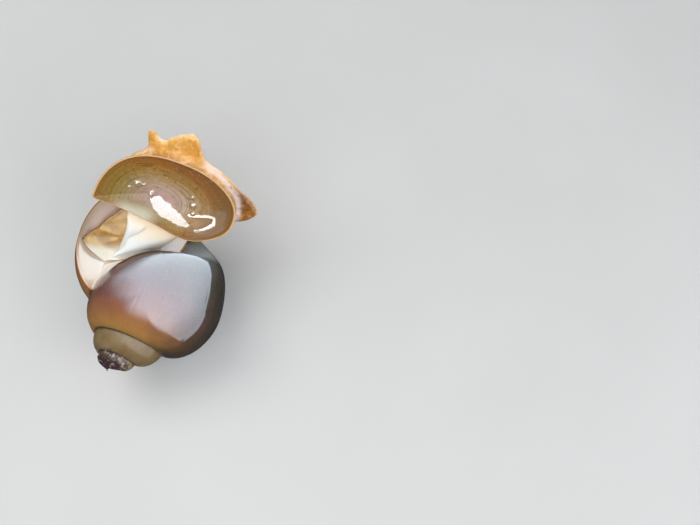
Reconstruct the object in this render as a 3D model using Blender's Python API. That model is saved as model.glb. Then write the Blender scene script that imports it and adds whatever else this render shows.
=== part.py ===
# An apple snail (Pila polita type), life size, lying on its back with the operculum swung open
# and the foot half out.  Blender 4.5, metres, +Z up, origin under the middle of the box.
import bpy
import bmesh
import math
import numpy as np

# ------------------------------------------------------------------ driving sizes (millimetres)
SHELL_HEIGHT = 60.0          # apex to base of the adult shell
# generating curve of the whorls, in units where the shell is 61.6 high (rho outwards, z up, apex at 0)
CURVE_A = 21.31              # half height of the whorl section
CURVE_B = 13.01              # half width
CURVE_TILT = -2.19           # degrees
CURVE_RHO = 14.32            # centre of the section
CURVE_Z = -40.31
CURVE_EGG = -0.16            # fuller at the shoulder
CURVE_POWER = 1.82
WHORL_RATIO = 1.81           # growth of the coil in one turn
GROWTH_SLANT = -18.78        # degrees of slant of the growth lines over 0.8 rad of the section
TURNS = 3.3                  # the tip of the spire is worn away
NUCLEUS = -16.5              # height of the worn tip over the first whorl's plane, at its own scale
S_BASE = -1.78               # section angle where the base turns into the umbilical area
UMBILICUS_LOW = -50.0        # height of the umbilical dimple at the lip, and one turn back
UMBILICUS_HIGH = -38.0
MOUTH_CENTRE = (18.5, -41.0)
NECK_CENTRE = (12.5, -42.0)
WALL = 1.25                  # shell thickness at the lip
COLUMELLA = 4.4              # half thickness of the pillar at the mouth
CAVITY_STEPS = 8             # 20 degrees each
CAVITY_STEP = math.radians(20)
GAP = 0.3                    # between neighbouring pieces
MANTLE_FROM, MANTLE_TO, MANTLE_HALF = -50.0, 78.0, 1.5
NECK_EDGE = 15.6             # the free side of the neck stands this far out in the mouth

# attitude of the shell in the pose frame: x right, y up the picture plane, z to the viewer
AXIS_ANGLE = -119.24         # of the apex in the picture plane
AXIS_TILT = 20.23            # towards the viewer
AXIS_SPIN = 80.27
VIEW_ELEVATION = 60.0        # the pose frame looks down this steeply
FLOOR_DEPTH = 21.5           # height of the pose origin over the floor
SHIFT_X, SHIFT_Y = 1.28, 5.71
FLAT = 0.8                   # depth of the small resting flat

# operculum
OP_LENGTH = 38.4
OP_HEIGHT = 21.6
OP_THICK = 1.3
OP_DISH = 1.9
OP_CENTRE = (2.8, 22.5, 8.8)
OP_LONG = (0.925, -0.315, -0.205)
OP_NORMAL = (-0.02, -0.53, 0.848)


# ------------------------------------------------------------------ curve and coil
def outline(s):
    s = np.asarray(s, float)
    c, q = np.cos(s), np.sin(s)
    e = 2.0 / CURVE_POWER
    cc = np.sign(c) * np.abs(c) ** e
    ss = np.sign(q) * np.abs(q) ** e
    x = CURVE_B * cc * (1 - CURVE_EGG * q)
    y = CURVE_A * ss
    a = math.radians(CURVE_TILT)
    return CURVE_RHO + x * math.cos(a) - y * math.sin(a), CURVE_Z + x * math.sin(a) + y * math.cos(a)


def growth(t):
    return np.exp(math.log(WHORL_RATIO) / (2 * math.pi) * np.asarray(t, float))


def wind(t, rho, z):
    """A point of the section plane carried back along the coil by the angle t (0 at the lip)."""
    t, rho, z = np.broadcast_arrays(np.asarray(t, float), np.asarray(rho, float), np.asarray(z, float))
    g = growth(t)
    polar = np.arctan2(rho, -z)
    phi = -t + math.radians(GROWTH_SLANT) * (polar - 0.45) / 0.8
    return np.stack([g * rho * np.cos(phi), g * rho * np.sin(phi), g * z], -1)


def suture():
    """Section angles where a whorl meets the one before it: on the new whorl, and on the old."""
    s = np.linspace(0, 2 * math.pi, 7201)
    r, z = outline(s)
    th = np.unwrap(np.arctan2(z - CURVE_Z, r - CURVE_RHO))
    rad = np.hypot(r - CURVE_RHO, z - CURVE_Z)
    r2, z2 = r / WHORL_RATIO, z / WHORL_RATIO
    q = th[0] + np.mod(np.arctan2(z2 - CURVE_Z, r2 - CURVE_RHO) - th[0], 2 * math.pi)
    lev = np.hypot(r2 - CURVE_RHO, z2 - CURVE_Z) / np.interp(q, th, rad) - 1
    i = np.nonzero((lev[:-1] > 0) != (lev[1:] > 0))[0]
    k = max(i, key=lambda j: r2[j])
    sb = s[k] + (s[k + 1] - s[k]) * lev[k] / (lev[k] - lev[k + 1])
    rb, zb = outline(sb)
    sa = s[np.argmin((r - rb / WHORL_RATIO) ** 2 + (z - zb / WHORL_RATIO) ** 2)]
    return float(sa), float(sb)


def reach(centre, angles, wall, edge=None):
    """How far the mouth's inside reaches from a centre, in each direction of the section plane."""
    th = np.linspace(0, 2 * math.pi, 181)[:-1]
    s = np.linspace(0, 2 * math.pi, 1441)
    r, z = outline(s)

    def hit(r, z):
        d = np.full(len(th), 1e9)
        for i, a in enumerate(th):
            u = (math.cos(a), math.sin(a))
            x = (r - centre[0]) * u[0] + (z - centre[1]) * u[1]
            y = -(r - centre[0]) * u[1] + (z - centre[1]) * u[0]
            m = np.nonzero((y[:-1] > 0) != (y[1:] > 0))[0]
            f = y[m] / (y[m] - y[m + 1])
            xx = x[m] + (x[m + 1] - x[m]) * f
            xx = xx[xx > 0]
            if len(xx):
                d[i] = xx.min()
        return d
    c = np.cos(th)
    pillar = np.where(c < -1e-3, (centre[0] - COLUMELLA) / np.maximum(-c, 1e-3), 1e9)
    d = np.minimum(np.minimum(hit(r, z), hit(r / WHORL_RATIO, z / WHORL_RATIO)), pillar) - wall
    if edge is not None:
        d = np.minimum(d, np.where(c > 1e-3, (edge - centre[0]) / np.maximum(c, 1e-3), 1e9))
    for _ in range(6):
        d = 0.25 * np.roll(d, 1) + 0.5 * d + 0.25 * np.roll(d, -1)
    return np.interp(np.mod(angles, 2 * math.pi), np.append(th, 2 * math.pi), np.append(d, d[0]))


# ------------------------------------------------------------------ shell to pose to world
def attitude():
    a, b = math.radians(AXIS_ANGLE), math.radians(AXIS_TILT)
    ax = np.array([math.cos(a) * math.cos(b), math.sin(a) * math.cos(b), math.sin(b)])
    ref = np.array([0, 0, 1.0])
    x = ref - ax * (ref @ ax)
    x /= np.linalg.norm(x)
    y = np.cross(ax, x)
    g = math.radians(AXIS_SPIN)
    x2 = x * math.cos(g) + y * math.sin(g)
    return np.stack([x2, np.cross(ax, x2), ax], 1)


SHELL_UNIT = SHELL_HEIGHT / 61.606
SHELL_AXES = attitude()


def pose(v):
    return (np.asarray(v, float) + np.array([0, 0, 33.0])) * SHELL_UNIT @ SHELL_AXES.T


def world(p):
    """Pose millimetres to world metres: turned so that the floor is level, and set down on it."""
    p = np.asarray(p, float)
    c, s = math.cos(math.radians(VIEW_ELEVATION)), math.sin(math.radians(VIEW_ELEVATION))
    w = np.stack([p[..., 0] - SHIFT_X, s * p[..., 1] - c * p[..., 2] - SHIFT_Y,
                  c * p[..., 1] + s * p[..., 2] + FLOOR_DEPTH], -1)
    return w * 0.001


# ------------------------------------------------------------------ shell
def shell_mesh(nt, na, nb, nr, nax, lip_rows):
    sa, sb = suture()
    n_all = int(round(TURNS * nt))
    first = n_all - nt
    verts, faces, col = [], [], {}

    def add(p):
        verts.append(p)
        return len(verts) - 1
    axis_v = {}
    for k in range(nax + 1):
        axis_v[k] = add(np.array([0, 0, UMBILICUS_HIGH + (UMBILICUS_LOW - UMBILICUS_HIGH) * k / nax]))
    for i in range(n_all + 1):
        t = -2 * math.pi * (n_all - i) / nt
        for j in range(na + 1):
            if j == 0 and i >= nt:
                col[i, 0] = col[i - nt, na]
            else:
                col[i, j] = add(wind(t, *outline(sa + (sb - sa) * j / na)))
        if i < first:
            continue
        for j in range(1, nb + 1):
            s = sb + (S_BASE - sb) * j / nb
            col[i, na + j] = add(wind(t, *outline(s)))
        # umbilical area: a quadratic arc from the base to the axis
        r0, z0 = outline(S_BASE)
        r1, z1 = outline(S_BASE - 0.02)
        g = float(growth(t))
        k = nax * (i - first) / nt
        zax = (UMBILICUS_HIGH + (UMBILICUS_LOW - UMBILICUS_HIGH) * k / nax) / g
        d = np.array([r1 - r0, z1 - z0])
        d /= np.linalg.norm(d)
        p0 = np.array([r0, z0])
        p1 = p0 + d * (r0 * 0.62)
        p2 = np.array([0.0, zax])
        for j in range(1, nr):
            v = j / nr
            q = (1 - v) ** 2 * p0 + 2 * v * (1 - v) * p1 + v * v * p2
            col[i, na + nb + j] = add(wind(t, q[0], q[1]))
        col[i, na + nb + nr] = axis_v[int(round(k))]
    for i in range(n_all):
        top = na if i < first else na + nb + nr
        for j in range(top):
            f = [col[i, j], col[i + 1, j], col[i + 1, j + 1], col[i, j + 1]]
            g = [f[k] for k in range(4) if f[k] != f[k - 1]]
            faces.append(g)
    # nucleus
    tip = add(np.array([0, 0, NUCLEUS * float(growth(-2 * math.pi * TURNS))]))
    ring = [col[i, 0] for i in range(nt + 1)] + [col[0, j] for j in range(na - 1, 0, -1)]
    for a, b in zip(ring, ring[1:] + ring[:1]):
        faces.append([a, tip, b])
    # mouth: outer loop of the lip, from the hind corner round the outer lip, pillar and parietal wall
    loop = [col[n_all, j] for j in range(na + nb + nr + 1)]
    loop += [axis_v[k] for k in range(nax - 1, 0, -1)]
    loop += [col[first, j] for j in range(na + nb + nr, na, -1)]
    pts = np.array([verts[i] for i in loop])
    rho, z = np.hypot(pts[:, 0], pts[:, 1]), pts[:, 2]
    ang = np.arctan2(z - MOUTH_CENTRE[1], rho - MOUTH_CENTRE[0])
    rad = np.hypot(z - MOUTH_CENTRE[1], rho - MOUTH_CENTRE[0])
    rin = np.minimum(reach(MOUTH_CENTRE, ang, WALL), rad - 0.8)
    rings = [loop]

    def ring_at(radius, t):
        return [add(p) for p in wind(t, MOUTH_CENTRE[0] + radius * np.cos(ang),
                                     MOUTH_CENTRE[1] + radius * np.sin(ang))]
    for k in range(1, lip_rows):
        f = k / lip_rows
        rings.append(ring_at(rad + (rin - rad) * f, 0.022 * math.sin(math.pi * f)))
    rings.append(ring_at(rin, -0.004))
    for k in range(1, CAVITY_STEPS + 1):
        rings.append(ring_at(rin, -CAVITY_STEP * k))
    for a, b in zip(rings, rings[1:]):
        for i in range(len(loop)):
            j = (i + 1) % len(loop)
            faces.append([a[i], a[j], b[j], b[i]])
    mid = add(wind(-CAVITY_STEP * CAVITY_STEPS, *MOUTH_CENTRE))
    last = rings[-1]
    for i in range(len(loop)):
        faces.append([last[i], last[(i + 1) % len(loop)], mid])
    return pose(np.array(verts)), faces


# ------------------------------------------------------------------ soft shapes
def rings_mesh(rings, cap0=None, cap1=None):
    """A closed body through rings of equal count; each end is closed by a fan to a point."""
    n = len(rings[0])
    verts = [p for r in rings for p in r]
    faces = []
    for k in range(len(rings) - 1):
        for i in range(n):
            j = (i + 1) % n
            faces.append([k * n + i, k * n + j, (k + 1) * n + j, (k + 1) * n + i])
    c0 = np.mean(rings[0], 0) if cap0 is None else np.array(cap0, float)
    c1 = np.mean(rings[-1], 0) if cap1 is None else np.array(cap1, float)
    verts += [c0, c1]
    a, b = len(verts) - 2, len(verts) - 1
    base = (len(rings) - 1) * n
    for i in range(n):
        j = (i + 1) % n
        faces.append([j, i, a])
        faces.append([base + i, base + j, b])
    return np.array(verts), faces


def spline(points, n):
    """A smooth curve through a few points, n samples, ends included."""
    p = np.array(points, float)
    q = np.vstack([2 * p[0] - p[1], p, 2 * p[-1] - p[-2]])
    out = []
    for u in np.linspace(0, len(p) - 1, n):
        i = min(int(u), len(p) - 2)
        f = u - i
        a, b, c, d = q[i], q[i + 1], q[i + 2], q[i + 3]
        out.append(0.5 * (2 * b + (c - a) * f + (2 * a - 5 * b + 4 * c - d) * f * f
                          + (3 * b - a - 3 * c + d) * f ** 3))
    return np.array(out)


def tube(points, widths, flats, n_along, n_round, side, grow=0.0, fold=None):
    """A soft tube along a smooth curve; widths and flats are half axes at evenly spread stations."""
    c = spline(points, n_along)
    st = np.linspace(0, 1, len(widths))
    u = np.linspace(0, 1, n_along)
    wa = np.interp(u, st, widths)
    wb = np.interp(u, st, flats)
    d = np.gradient(c, axis=0)
    d /= np.linalg.norm(d, axis=1)[:, None]
    side = np.array(side, float)
    rings = []
    for k in range(n_along):
        a = side - d[k] * (side @ d[k])
        a /= np.linalg.norm(a)
        b = np.cross(d[k], a)
        end = min(1.0, 0.35 + 0.65 * math.sqrt(max(0.0, 1 - (1 - min(u[k], 1 - u[k]) / 0.06) ** 2))
                  if min(u[k], 1 - u[k]) < 0.06 else 1.0)
        th = np.linspace(0, 2 * math.pi, n_round + 1)[:-1]
        f = 1.0 if fold is None else fold(u[k], th)
        rings.append(c[k] + (a[None] * ((wa[k] * end + grow) * np.cos(th) * f)[:, None]
                             + b[None] * ((wb[k] * end + grow) * np.sin(th) * f)[:, None]))
    ext0 = c[0] - d[0] * (min(wa[0], wb[0]) * 0.3 + grow)
    ext1 = c[-1] + d[-1] * (min(wa[-1], wb[-1]) * 0.3 + grow)
    return rings_mesh(rings, ext0, ext1)


# ------------------------------------------------------------------ operculum and foot
def ball(centre, radius, n_round, rows):
    rings = []
    th = np.linspace(0, 2 * math.pi, n_round + 1)[:-1]
    for k in range(1, rows):
        a = math.pi * k / rows
        rings.append(np.array(centre) + radius * np.stack([np.sin(a) * np.cos(th), np.sin(a) * np.sin(th),
                                                           np.full(n_round, -math.cos(a))], -1))
    c = np.array(centre, float)
    return rings_mesh(rings, c - [0, 0, radius], c + [0, 0, radius])


def mantle_mesh(n_along, n_round):
    """The thick edge of the mantle, drawn back along the inside of the outer lip."""
    ang = np.radians(np.linspace(MANTLE_FROM, MANTLE_TO, 9))
    r = reach(MOUTH_CENTRE, ang, WALL) - MANTLE_HALF - 1.7
    pts = pose(wind(-1.5 * CAVITY_STEP, MOUTH_CENTRE[0] + r * np.cos(ang), MOUTH_CENTRE[1] + r * np.sin(ang)))
    w = (0.9, MANTLE_HALF, MANTLE_HALF, MANTLE_HALF, 0.9)
    return tube(pts, w, w, n_along, n_round, (0, 0, 1))


def op_frame():
    n = np.array(OP_NORMAL, float)
    n /= np.linalg.norm(n)
    u = np.array(OP_LONG, float)
    u -= n * (u @ n)
    u /= np.linalg.norm(u)
    return u, np.cross(n, u), n


def op_place(a, b, w):
    """Operculum plane (a along it, b across from the hinge side, w in front of it) to pose."""
    u, v, n = op_frame()
    a, b, w = np.broadcast_arrays(a, b, w)
    return np.array(OP_CENTRE) + a[..., None] * u + b[..., None] * v + w[..., None] * n


def op_radius(theta):
    """D-shaped plate: nearly straight hinge side, tight hind corner, broad front end."""
    x = np.linspace(-1, 1, 401)
    lift = 0.11 + 0.29 * np.clip(x, 0, 1) ** 2
    up = np.sqrt(np.clip(1 - np.abs(x) ** 2.5, 0, 1)) ** 0.86
    power = np.where(x > 0, 3.6, 7.0)
    dn = np.sqrt(np.clip(1 - np.abs(x) ** power, 0, 1))
    top = lift + (1 - lift) * up
    low = lift - lift * dn - 0.035 * np.cos(x * 2.6) * dn + 0.03 * dn * np.cos(x * 6.5) + 0.13 * dn * np.exp(-((x + 0.5) / 0.4) ** 2)
    a = np.concatenate([x, x[::-1]]) * OP_LENGTH / 2
    b = (np.concatenate([top, low[::-1]]) - 0.5) * OP_HEIGHT
    th = np.arctan2(b, a)
    r = np.hypot(a, b)
    order = np.argsort(th)
    th, r = th[order], r[order]
    th = np.concatenate([th[-3:] - 2 * math.pi, th, th[:3] + 2 * math.pi])
    r = np.concatenate([r[-3:], r, r[:3]])
    return np.interp(np.arctan2(np.sin(theta), np.cos(theta)), th, r)


def op_face(q):
    """Height of the outer face at the fraction q of the way to the rim: dished, with a raised rim."""
    return -OP_DISH * (1 - np.asarray(q, float) ** 2.2)


def operculum_mesh(n_round, rows):
    th = np.linspace(0, 2 * math.pi, n_round + 1)[:-1]
    r = op_radius(th)
    rings = []
    qs = [0.12] + [k / rows for k in range(1, rows + 1)]
    for q in qs:
        rings.append(op_place(q * r * np.cos(th), q * r * np.sin(th), op_face(q) * np.ones_like(th)))
    for q in reversed(qs):
        w = op_face(q) - OP_THICK * (0.55 + 0.45 * (1 - q ** 4))
        rings.append(op_place(q * r * np.cos(th), q * r * np.sin(th), w * np.ones_like(th)))
    c0 = op_place(0.0, 0.0, float(op_face(0)))
    c1 = op_place(0.0, 0.0, float(op_face(0)) - OP_THICK)
    return rings_mesh(rings, c0, c1)


# lobes of the foot's crumpled edge: (direction in degrees, half width in degrees, reach in mm)
FOOT_LOBES = ((124.0, 4.2, 4.9), (104.0, 9.0, 1.8), (86.0, 10.0, 4.6), (2.0, 9.0, 4.9), (145.0, 14.0, -2.4), (54.0, 10.0, -0.6))


def bump(theta, centre, width):
    d = np.degrees(np.arctan2(np.sin(theta - math.radians(centre)), np.cos(theta - math.radians(centre))))
    return np.exp(-0.5 * (d / width) ** 2)


def foot_margin(theta):
    d = np.degrees(np.mod(theta, 2 * math.pi))
    rise = 1 / (1 + np.exp((np.abs(np.mod(d - 78 + 180, 360) - 180) - 82) / 5.0))
    m = -3.4 + 5.6 * rise
    for c, w, h in FOOT_LOBES:
        m = m + h * bump(theta, c, w)
    return m


def foot_rear_mesh(n_round, q_sole, q_back, grow=0.0):
    th = np.linspace(0, 2 * math.pi, n_round + 1)[:-1]
    r = op_radius(th) + foot_margin(th) + grow
    wave = 0.7 * np.sin(5 * th + 0.6) + 0.5 * np.sin(9 * th)
    rim = -4.6 - 0.9 * wave * 0.5
    rings = []
    for q in q_sole:                    # sole side, centre to edge
        w = rim - 0.8 - (4.3 + 0.8 * np.cos(th - 1.0)) * (1 - q ** 2.4) - grow
        rings.append(op_place(q * r * np.cos(th), q * r * np.sin(th), w))
    for q in q_back:                    # back, edge to centre, hugging the operculum
        under = op_face(np.minimum(q * r / op_radius(th), 1.0)) - OP_THICK - GAP + grow
        out = 1 / (1 + np.exp(-(q * r - op_radius(th) + 1.0) / 0.8))
        w = under * (1 - out) + (rim + 0.9 + grow) * out
        rings.append(op_place(q * r * np.cos(th), q * r * np.sin(th), w))
    return rings_mesh(rings)


def neck_mesh(n_round, out_rows, grow=0.0):
    """The stalk: fills the coil inside, leaves the outer lip side open, and rises to the operculum."""
    th = np.linspace(0, 2 * math.pi, n_round + 1)[:-1]
    rings = []
    for k in range(CAVITY_STEPS - 1, -1, -1):
        t = -CAVITY_STEP * k
        edge = NECK_EDGE + 9.0 * min(1.0, max(0.0, (k - 1.0) / 2.2))
        r = reach(NECK_CENTRE, th, WALL + 0.55, edge)
        for _ in range(14):             # kept inside the mouth's own outline
            x = NECK_CENTRE[0] + r * np.cos(th) - MOUTH_CENTRE[0]
            y = NECK_CENTRE[1] + r * np.sin(th) - MOUTH_CENTRE[1]
            over = np.hypot(x, y) - reach(MOUTH_CENTRE, np.arctan2(y, x), WALL) + 0.55
            r = r - 0.7 * np.clip(over, 0, None)
        if k == CAVITY_STEPS - 1:
            r = r * 0.93
        rings.append(pose(wind(t if k else 0.012, NECK_CENTRE[0] + r * np.cos(th),
                               NECK_CENTRE[1] + r * np.sin(th))))
    a = rings[-1]
    start = a - rings[-2]
    start /= np.linalg.norm(start, axis=1)[:, None]
    u, v, n = op_frame()
    # the mouth ring matched to an oval on the back of the operculum, in the same order
    centre = op_place(0.5, -4.2, -OP_THICK - 3.2)
    ca = a.mean(0)
    x = (a - ca) @ u
    y = (a - ca) @ v
    phi = np.arctan2(y, x)
    b = centre + (10.8 * np.cos(phi))[:, None] * u + (5.6 * np.sin(phi))[:, None] * v
    for k in range(1, out_rows + 1):
        f = k / out_rows
        h1 = 2 * f ** 3 - 3 * f ** 2 + 1
        h2 = f ** 3 - 2 * f ** 2 + f
        h3 = -2 * f ** 3 + 3 * f ** 2
        h4 = f ** 3 - f ** 2
        rings.append(a * h1 + start * 9.0 * h2 + b * h3 + n * 6.0 * h4)
    v_, f_ = rings_mesh(rings)
    return v_, f_


# paths of the hidden head and front of the foot, between the foot and the outer lip
FRONT_PATH = ((3.2, 21.0, -3.8), (6.8, 26.0, -2.6), (9.4, 29.0, -5.2), (10.2, 29.6, -11.0))
HEAD_PATH = ((-6.6, 20.0, -6.5), (-6.8, 23.6, -1.4), (-5.6, 27.6, 1.0), (-5.0, 30.8, -0.4))
PALP_L = ((-6.8, 31.4, -1.2), (-8.0, 32.6, -4.8), (-8.0, 32.2, -8.8))
PALP_R = ((-3.8, 32.0, -1.2), (-3.0, 33.2, -4.8), (-3.2, 32.8, -8.8))
EYE_RADIUS = 0.75
EYE_STALK_L = ((-9.2, 28.0, 2.2), (-10.6, 28.8, 2.6), (-11.3, 29.3, 2.8))
EYE_STALK_R = ((-1.8, 29.4, 0.8), (-0.4, 30.6, 0.7), (0.2, 31.2, 0.5))
TENTACLE_L = ((-8.8, 29.4, 0.8), (-12.2, 31.4, -3.4), (-13.6, 30.6, -10.5), (-11.0, 31.0, -17.5))
TENTACLE_R = ((-1.6, 30.2, -0.4), (0.0, 33.2, -4.8), (0.0, 33.8, -11.5), (3.0, 33.0, -18.5))


# ------------------------------------------------------------------ objects
def clear():
    for o in list(bpy.data.objects):
        bpy.data.objects.remove(o, do_unlink=True)


def material(name, rgb, rough):
    m = bpy.data.materials.new(name)
    m.use_nodes = True
    p = m.node_tree.nodes["Principled BSDF"]
    p.inputs["Base Color"].default_value = (*rgb, 1)
    p.inputs["Roughness"].default_value = rough
    p.inputs["Metallic"].default_value = 0.0
    return m


def make(name, mesh, mat, floor=False):
    v, f = mesh
    w = world(v)
    if floor:
        w[:, 2] = np.maximum(w[:, 2], 0.0)
    me = bpy.data.meshes.new(name)
    bm = bmesh.new()
    vs = [bm.verts.new(p) for p in w]
    for q in f:
        bm.faces.new([vs[i] for i in q])
    bm.normal_update()
    bmesh.ops.triangulate(bm, faces=[q for q in bm.faces if len(q.verts) > 3])
    bmesh.ops.recalc_face_normals(bm, faces=bm.faces)
    bm.to_mesh(me)
    bm.free()
    me.shade_smooth()
    o = bpy.data.objects.new(name, me)
    bpy.context.scene.collection.objects.link(o)
    if mat:
        me.materials.append(mat)
    return o


def grown(obj, d):
    """A hidden cutter: the object's raw surface moved out by d millimetres."""
    bm = bmesh.new()
    bm.from_mesh(obj.data)
    bm.normal_update()
    move = [v.normal.copy() for v in bm.verts]
    for v, n in zip(bm.verts, move):
        v.co += n * d * 0.001
    me = bpy.data.meshes.new(obj.name + "_cut")
    bm.to_mesh(me)
    bm.free()
    c = bpy.data.objects.new(obj.name + "_cut", me)
    bpy.context.scene.collection.objects.link(c)
    c.hide_render = True
    c.display_type = "WIRE"
    return c


def cut(obj, cutter):
    m = obj.modifiers.new("part", "BOOLEAN")
    m.operation = "DIFFERENCE"
    m.solver = "EXACT"
    m.object = cutter


def build():
    clear()
    m_shell = material("shell", (0.16, 0.10, 0.08), 0.25)
    m_oper = material("operculum", (0.23, 0.17, 0.07), 0.3)
    m_foot = material("foot", (0.60, 0.33, 0.12), 0.4)
    m_neck = material("neck", (0.85, 0.76, 0.62), 0.35)
    m_eye = material("eye", (0.02, 0.02, 0.02), 0.1)
    make("shell", shell_mesh(36, 6, 15, 3, 2, 2), m_shell, True)
    make("operculum", operculum_mesh(36, 4), m_oper)
    neck = make("neck", neck_mesh(24, 5), m_neck)
    rear = make("foot_rear", foot_rear_mesh(60, (0.2, 0.5, 0.75, 0.92, 1.0), (1.0, 0.86, 0.66, 0.4, 0.15)), m_foot)
    cut(rear, grown(neck, GAP + 0.25))
    front = make("foot_front", tube(FRONT_PATH, (4.6, 5.3, 5.2, 3.8), (2.4, 2.4, 2.1, 1.3), 9, 16, (1, -0.45, 0.2)), m_foot)
    cut(front, grown(neck, GAP + 0.2))
    cut(front, grown(rear, GAP + 0.15))
    head = make("head", tube(HEAD_PATH, (4.0, 4.6, 4.6, 3.4), (3.4, 3.7, 3.6, 2.6), 8, 16, (1, 0.2, 0.25)), m_foot)
    for other in (neck, rear, front):
        cut(head, grown(other, GAP + 0.15))
    h = [head]
    for side, points in (("L", PALP_L), ("R", PALP_R)):
        h.append(make("labial_palp_" + side, tube(points, (1.5, 1.1, 0.45), (1.2, 0.9, 0.45), 6, 8, (1, 0, 0)), m_foot))
    for side, points in (("L", TENTACLE_L), ("R", TENTACLE_R)):
        h.append(make("tentacle_" + side, tube(points, (1.0, 0.75, 0.55, 0.35), (0.9, 0.7, 0.5, 0.35), 12, 8, (0, 0, 1)), m_foot))
    for side, points in (("L", EYE_STALK_L), ("R", EYE_STALK_R)):
        h.append(make("eye_stalk_" + side, tube(points, (0.95, 0.85, 0.8), (0.95, 0.85, 0.8), 6, 8, (0, 0, 1)), m_foot))
        e = np.array(points[-1])
        d = e - np.array(points[-2])
        e = e + d / np.linalg.norm(d) * (EYE_RADIUS + 0.6)
        h.append(make("eye_" + side, ball(e, EYE_RADIUS, 10, 7), m_eye))
    for o in h[1:]:
        cut(o, grown(head, GAP + 0.05))
    mantle = make("mantle_edge", mantle_mesh(15, 8), m_neck)


build()
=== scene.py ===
# Finish of the apple snail: fine shell, horny operculum, one wet skin over foot, neck and head, and eyes.
# Lengths are worked out in millimetres and written in metres.
import bpy
import bmesh
import math
import numpy as np
from mathutils import Matrix, Vector
from mathutils.bvhtree import BVHTree


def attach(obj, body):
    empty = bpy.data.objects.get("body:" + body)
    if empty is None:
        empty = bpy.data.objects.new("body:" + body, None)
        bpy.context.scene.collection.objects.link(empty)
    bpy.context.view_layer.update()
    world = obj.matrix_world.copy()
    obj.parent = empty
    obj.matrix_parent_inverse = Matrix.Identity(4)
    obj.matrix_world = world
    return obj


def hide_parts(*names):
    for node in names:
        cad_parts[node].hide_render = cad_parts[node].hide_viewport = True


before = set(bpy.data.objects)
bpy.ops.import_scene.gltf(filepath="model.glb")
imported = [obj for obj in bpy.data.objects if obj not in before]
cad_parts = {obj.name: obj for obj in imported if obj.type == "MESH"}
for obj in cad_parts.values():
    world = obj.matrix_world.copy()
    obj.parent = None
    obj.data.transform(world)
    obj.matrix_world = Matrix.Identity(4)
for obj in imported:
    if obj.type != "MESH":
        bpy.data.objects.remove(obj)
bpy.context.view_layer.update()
TAU = 2 * math.pi

# ------------------------------------------------------------------ sizes shared with the solids (millimetres)
SHELL_HEIGHT = 60.0
CURVE_A, CURVE_B, CURVE_TILT = 21.31, 13.01, -2.19
CURVE_RHO, CURVE_Z, CURVE_EGG, CURVE_POWER = 14.32, -40.31, -0.16, 1.82
WHORL_RATIO = 1.81
GROWTH_SLANT = -18.78
TURNS = 3.3
NUCLEUS = -16.5
S_BASE = -1.78
UMBILICUS_LOW, UMBILICUS_HIGH = -50.0, -38.0
MOUTH_CENTRE = (18.5, -41.0)
NECK_CENTRE = (12.5, -42.0)
WALL = 1.25
COLUMELLA = 4.4
CAVITY_END = 160.0
CORNER_PAD = 12.4
MODEL_TOP = 54.1
NECK_EDGE = 15.6
AXIS_ANGLE, AXIS_TILT, AXIS_SPIN = -119.24, 20.23, 80.27
VIEW_ELEVATION = 60.0
FLOOR_DEPTH = 21.5
SHIFT_X, SHIFT_Y = 1.28, 5.71
OP_LENGTH, OP_HEIGHT, OP_THICK, OP_DISH = 38.4, 21.6, 1.3, 1.9
OP_CENTRE = (2.8, 22.5, 8.8)
OP_LONG = (0.925, -0.315, -0.205)
OP_NORMAL = (-0.02, -0.53, 0.848)
FOOT_LOBES = ((124.0, 4.2, 4.9), (104.0, 9.0, 1.8), (86.0, 10.0, 4.6), (2.0, 9.0, 4.9), (145.0, 14.0, -2.4),
              (54.0, 10.0, -0.6))
FRONT_PATH = ((3.2, 21.0, -3.8), (6.8, 26.0, -2.6), (9.4, 29.0, -5.2), (10.2, 29.6, -11.0))
HEAD_PATH = ((-6.6, 20.0, -6.5), (-6.8, 23.6, -1.4), (-5.6, 27.6, 1.0), (-5.0, 30.8, -0.4))
PALP_L = ((-6.8, 31.4, -1.2), (-8.0, 32.6, -4.8), (-8.0, 32.2, -8.8))
PALP_R = ((-3.8, 32.0, -1.2), (-3.0, 33.2, -4.8), (-3.2, 32.8, -8.8))
EYE_RADIUS = 0.75
EYE_STALK_L = ((-9.2, 28.0, 2.2), (-10.6, 28.8, 2.6), (-11.3, 29.3, 2.8))
EYE_STALK_R = ((-1.8, 29.4, 0.8), (-0.4, 30.6, 0.7), (0.2, 31.2, 0.5))
TENTACLE_L = ((-8.8, 29.4, 0.8), (-12.2, 31.4, -3.4), (-13.6, 30.6, -10.5), (-11.0, 31.0, -17.5))
TENTACLE_R = ((-1.6, 30.2, -0.4), (0.0, 33.2, -4.8), (0.0, 33.8, -11.5), (3.0, 33.0, -18.5))


SHELL_UNIT = SHELL_HEIGHT / 61.606


# ------------------------------------------------------------------ noise, seeded by its own hash
def _hash(ix, iy, iz, seed):
    h = (ix.astype(np.uint64) * np.uint64(73856093) ^ iy.astype(np.uint64) * np.uint64(19349663)
         ^ iz.astype(np.uint64) * np.uint64(83492791) ^ np.uint64(seed * 2654435761 % (1 << 32)))
    h = (h ^ (h >> np.uint64(13))) * np.uint64(1274126177)
    h = (h ^ (h >> np.uint64(16))) * np.uint64(2246822519)
    h = h ^ (h >> np.uint64(15))
    return (h & np.uint64(0xFFFFFF)).astype(float) / float(0xFFFFFF) * 2 - 1


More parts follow.
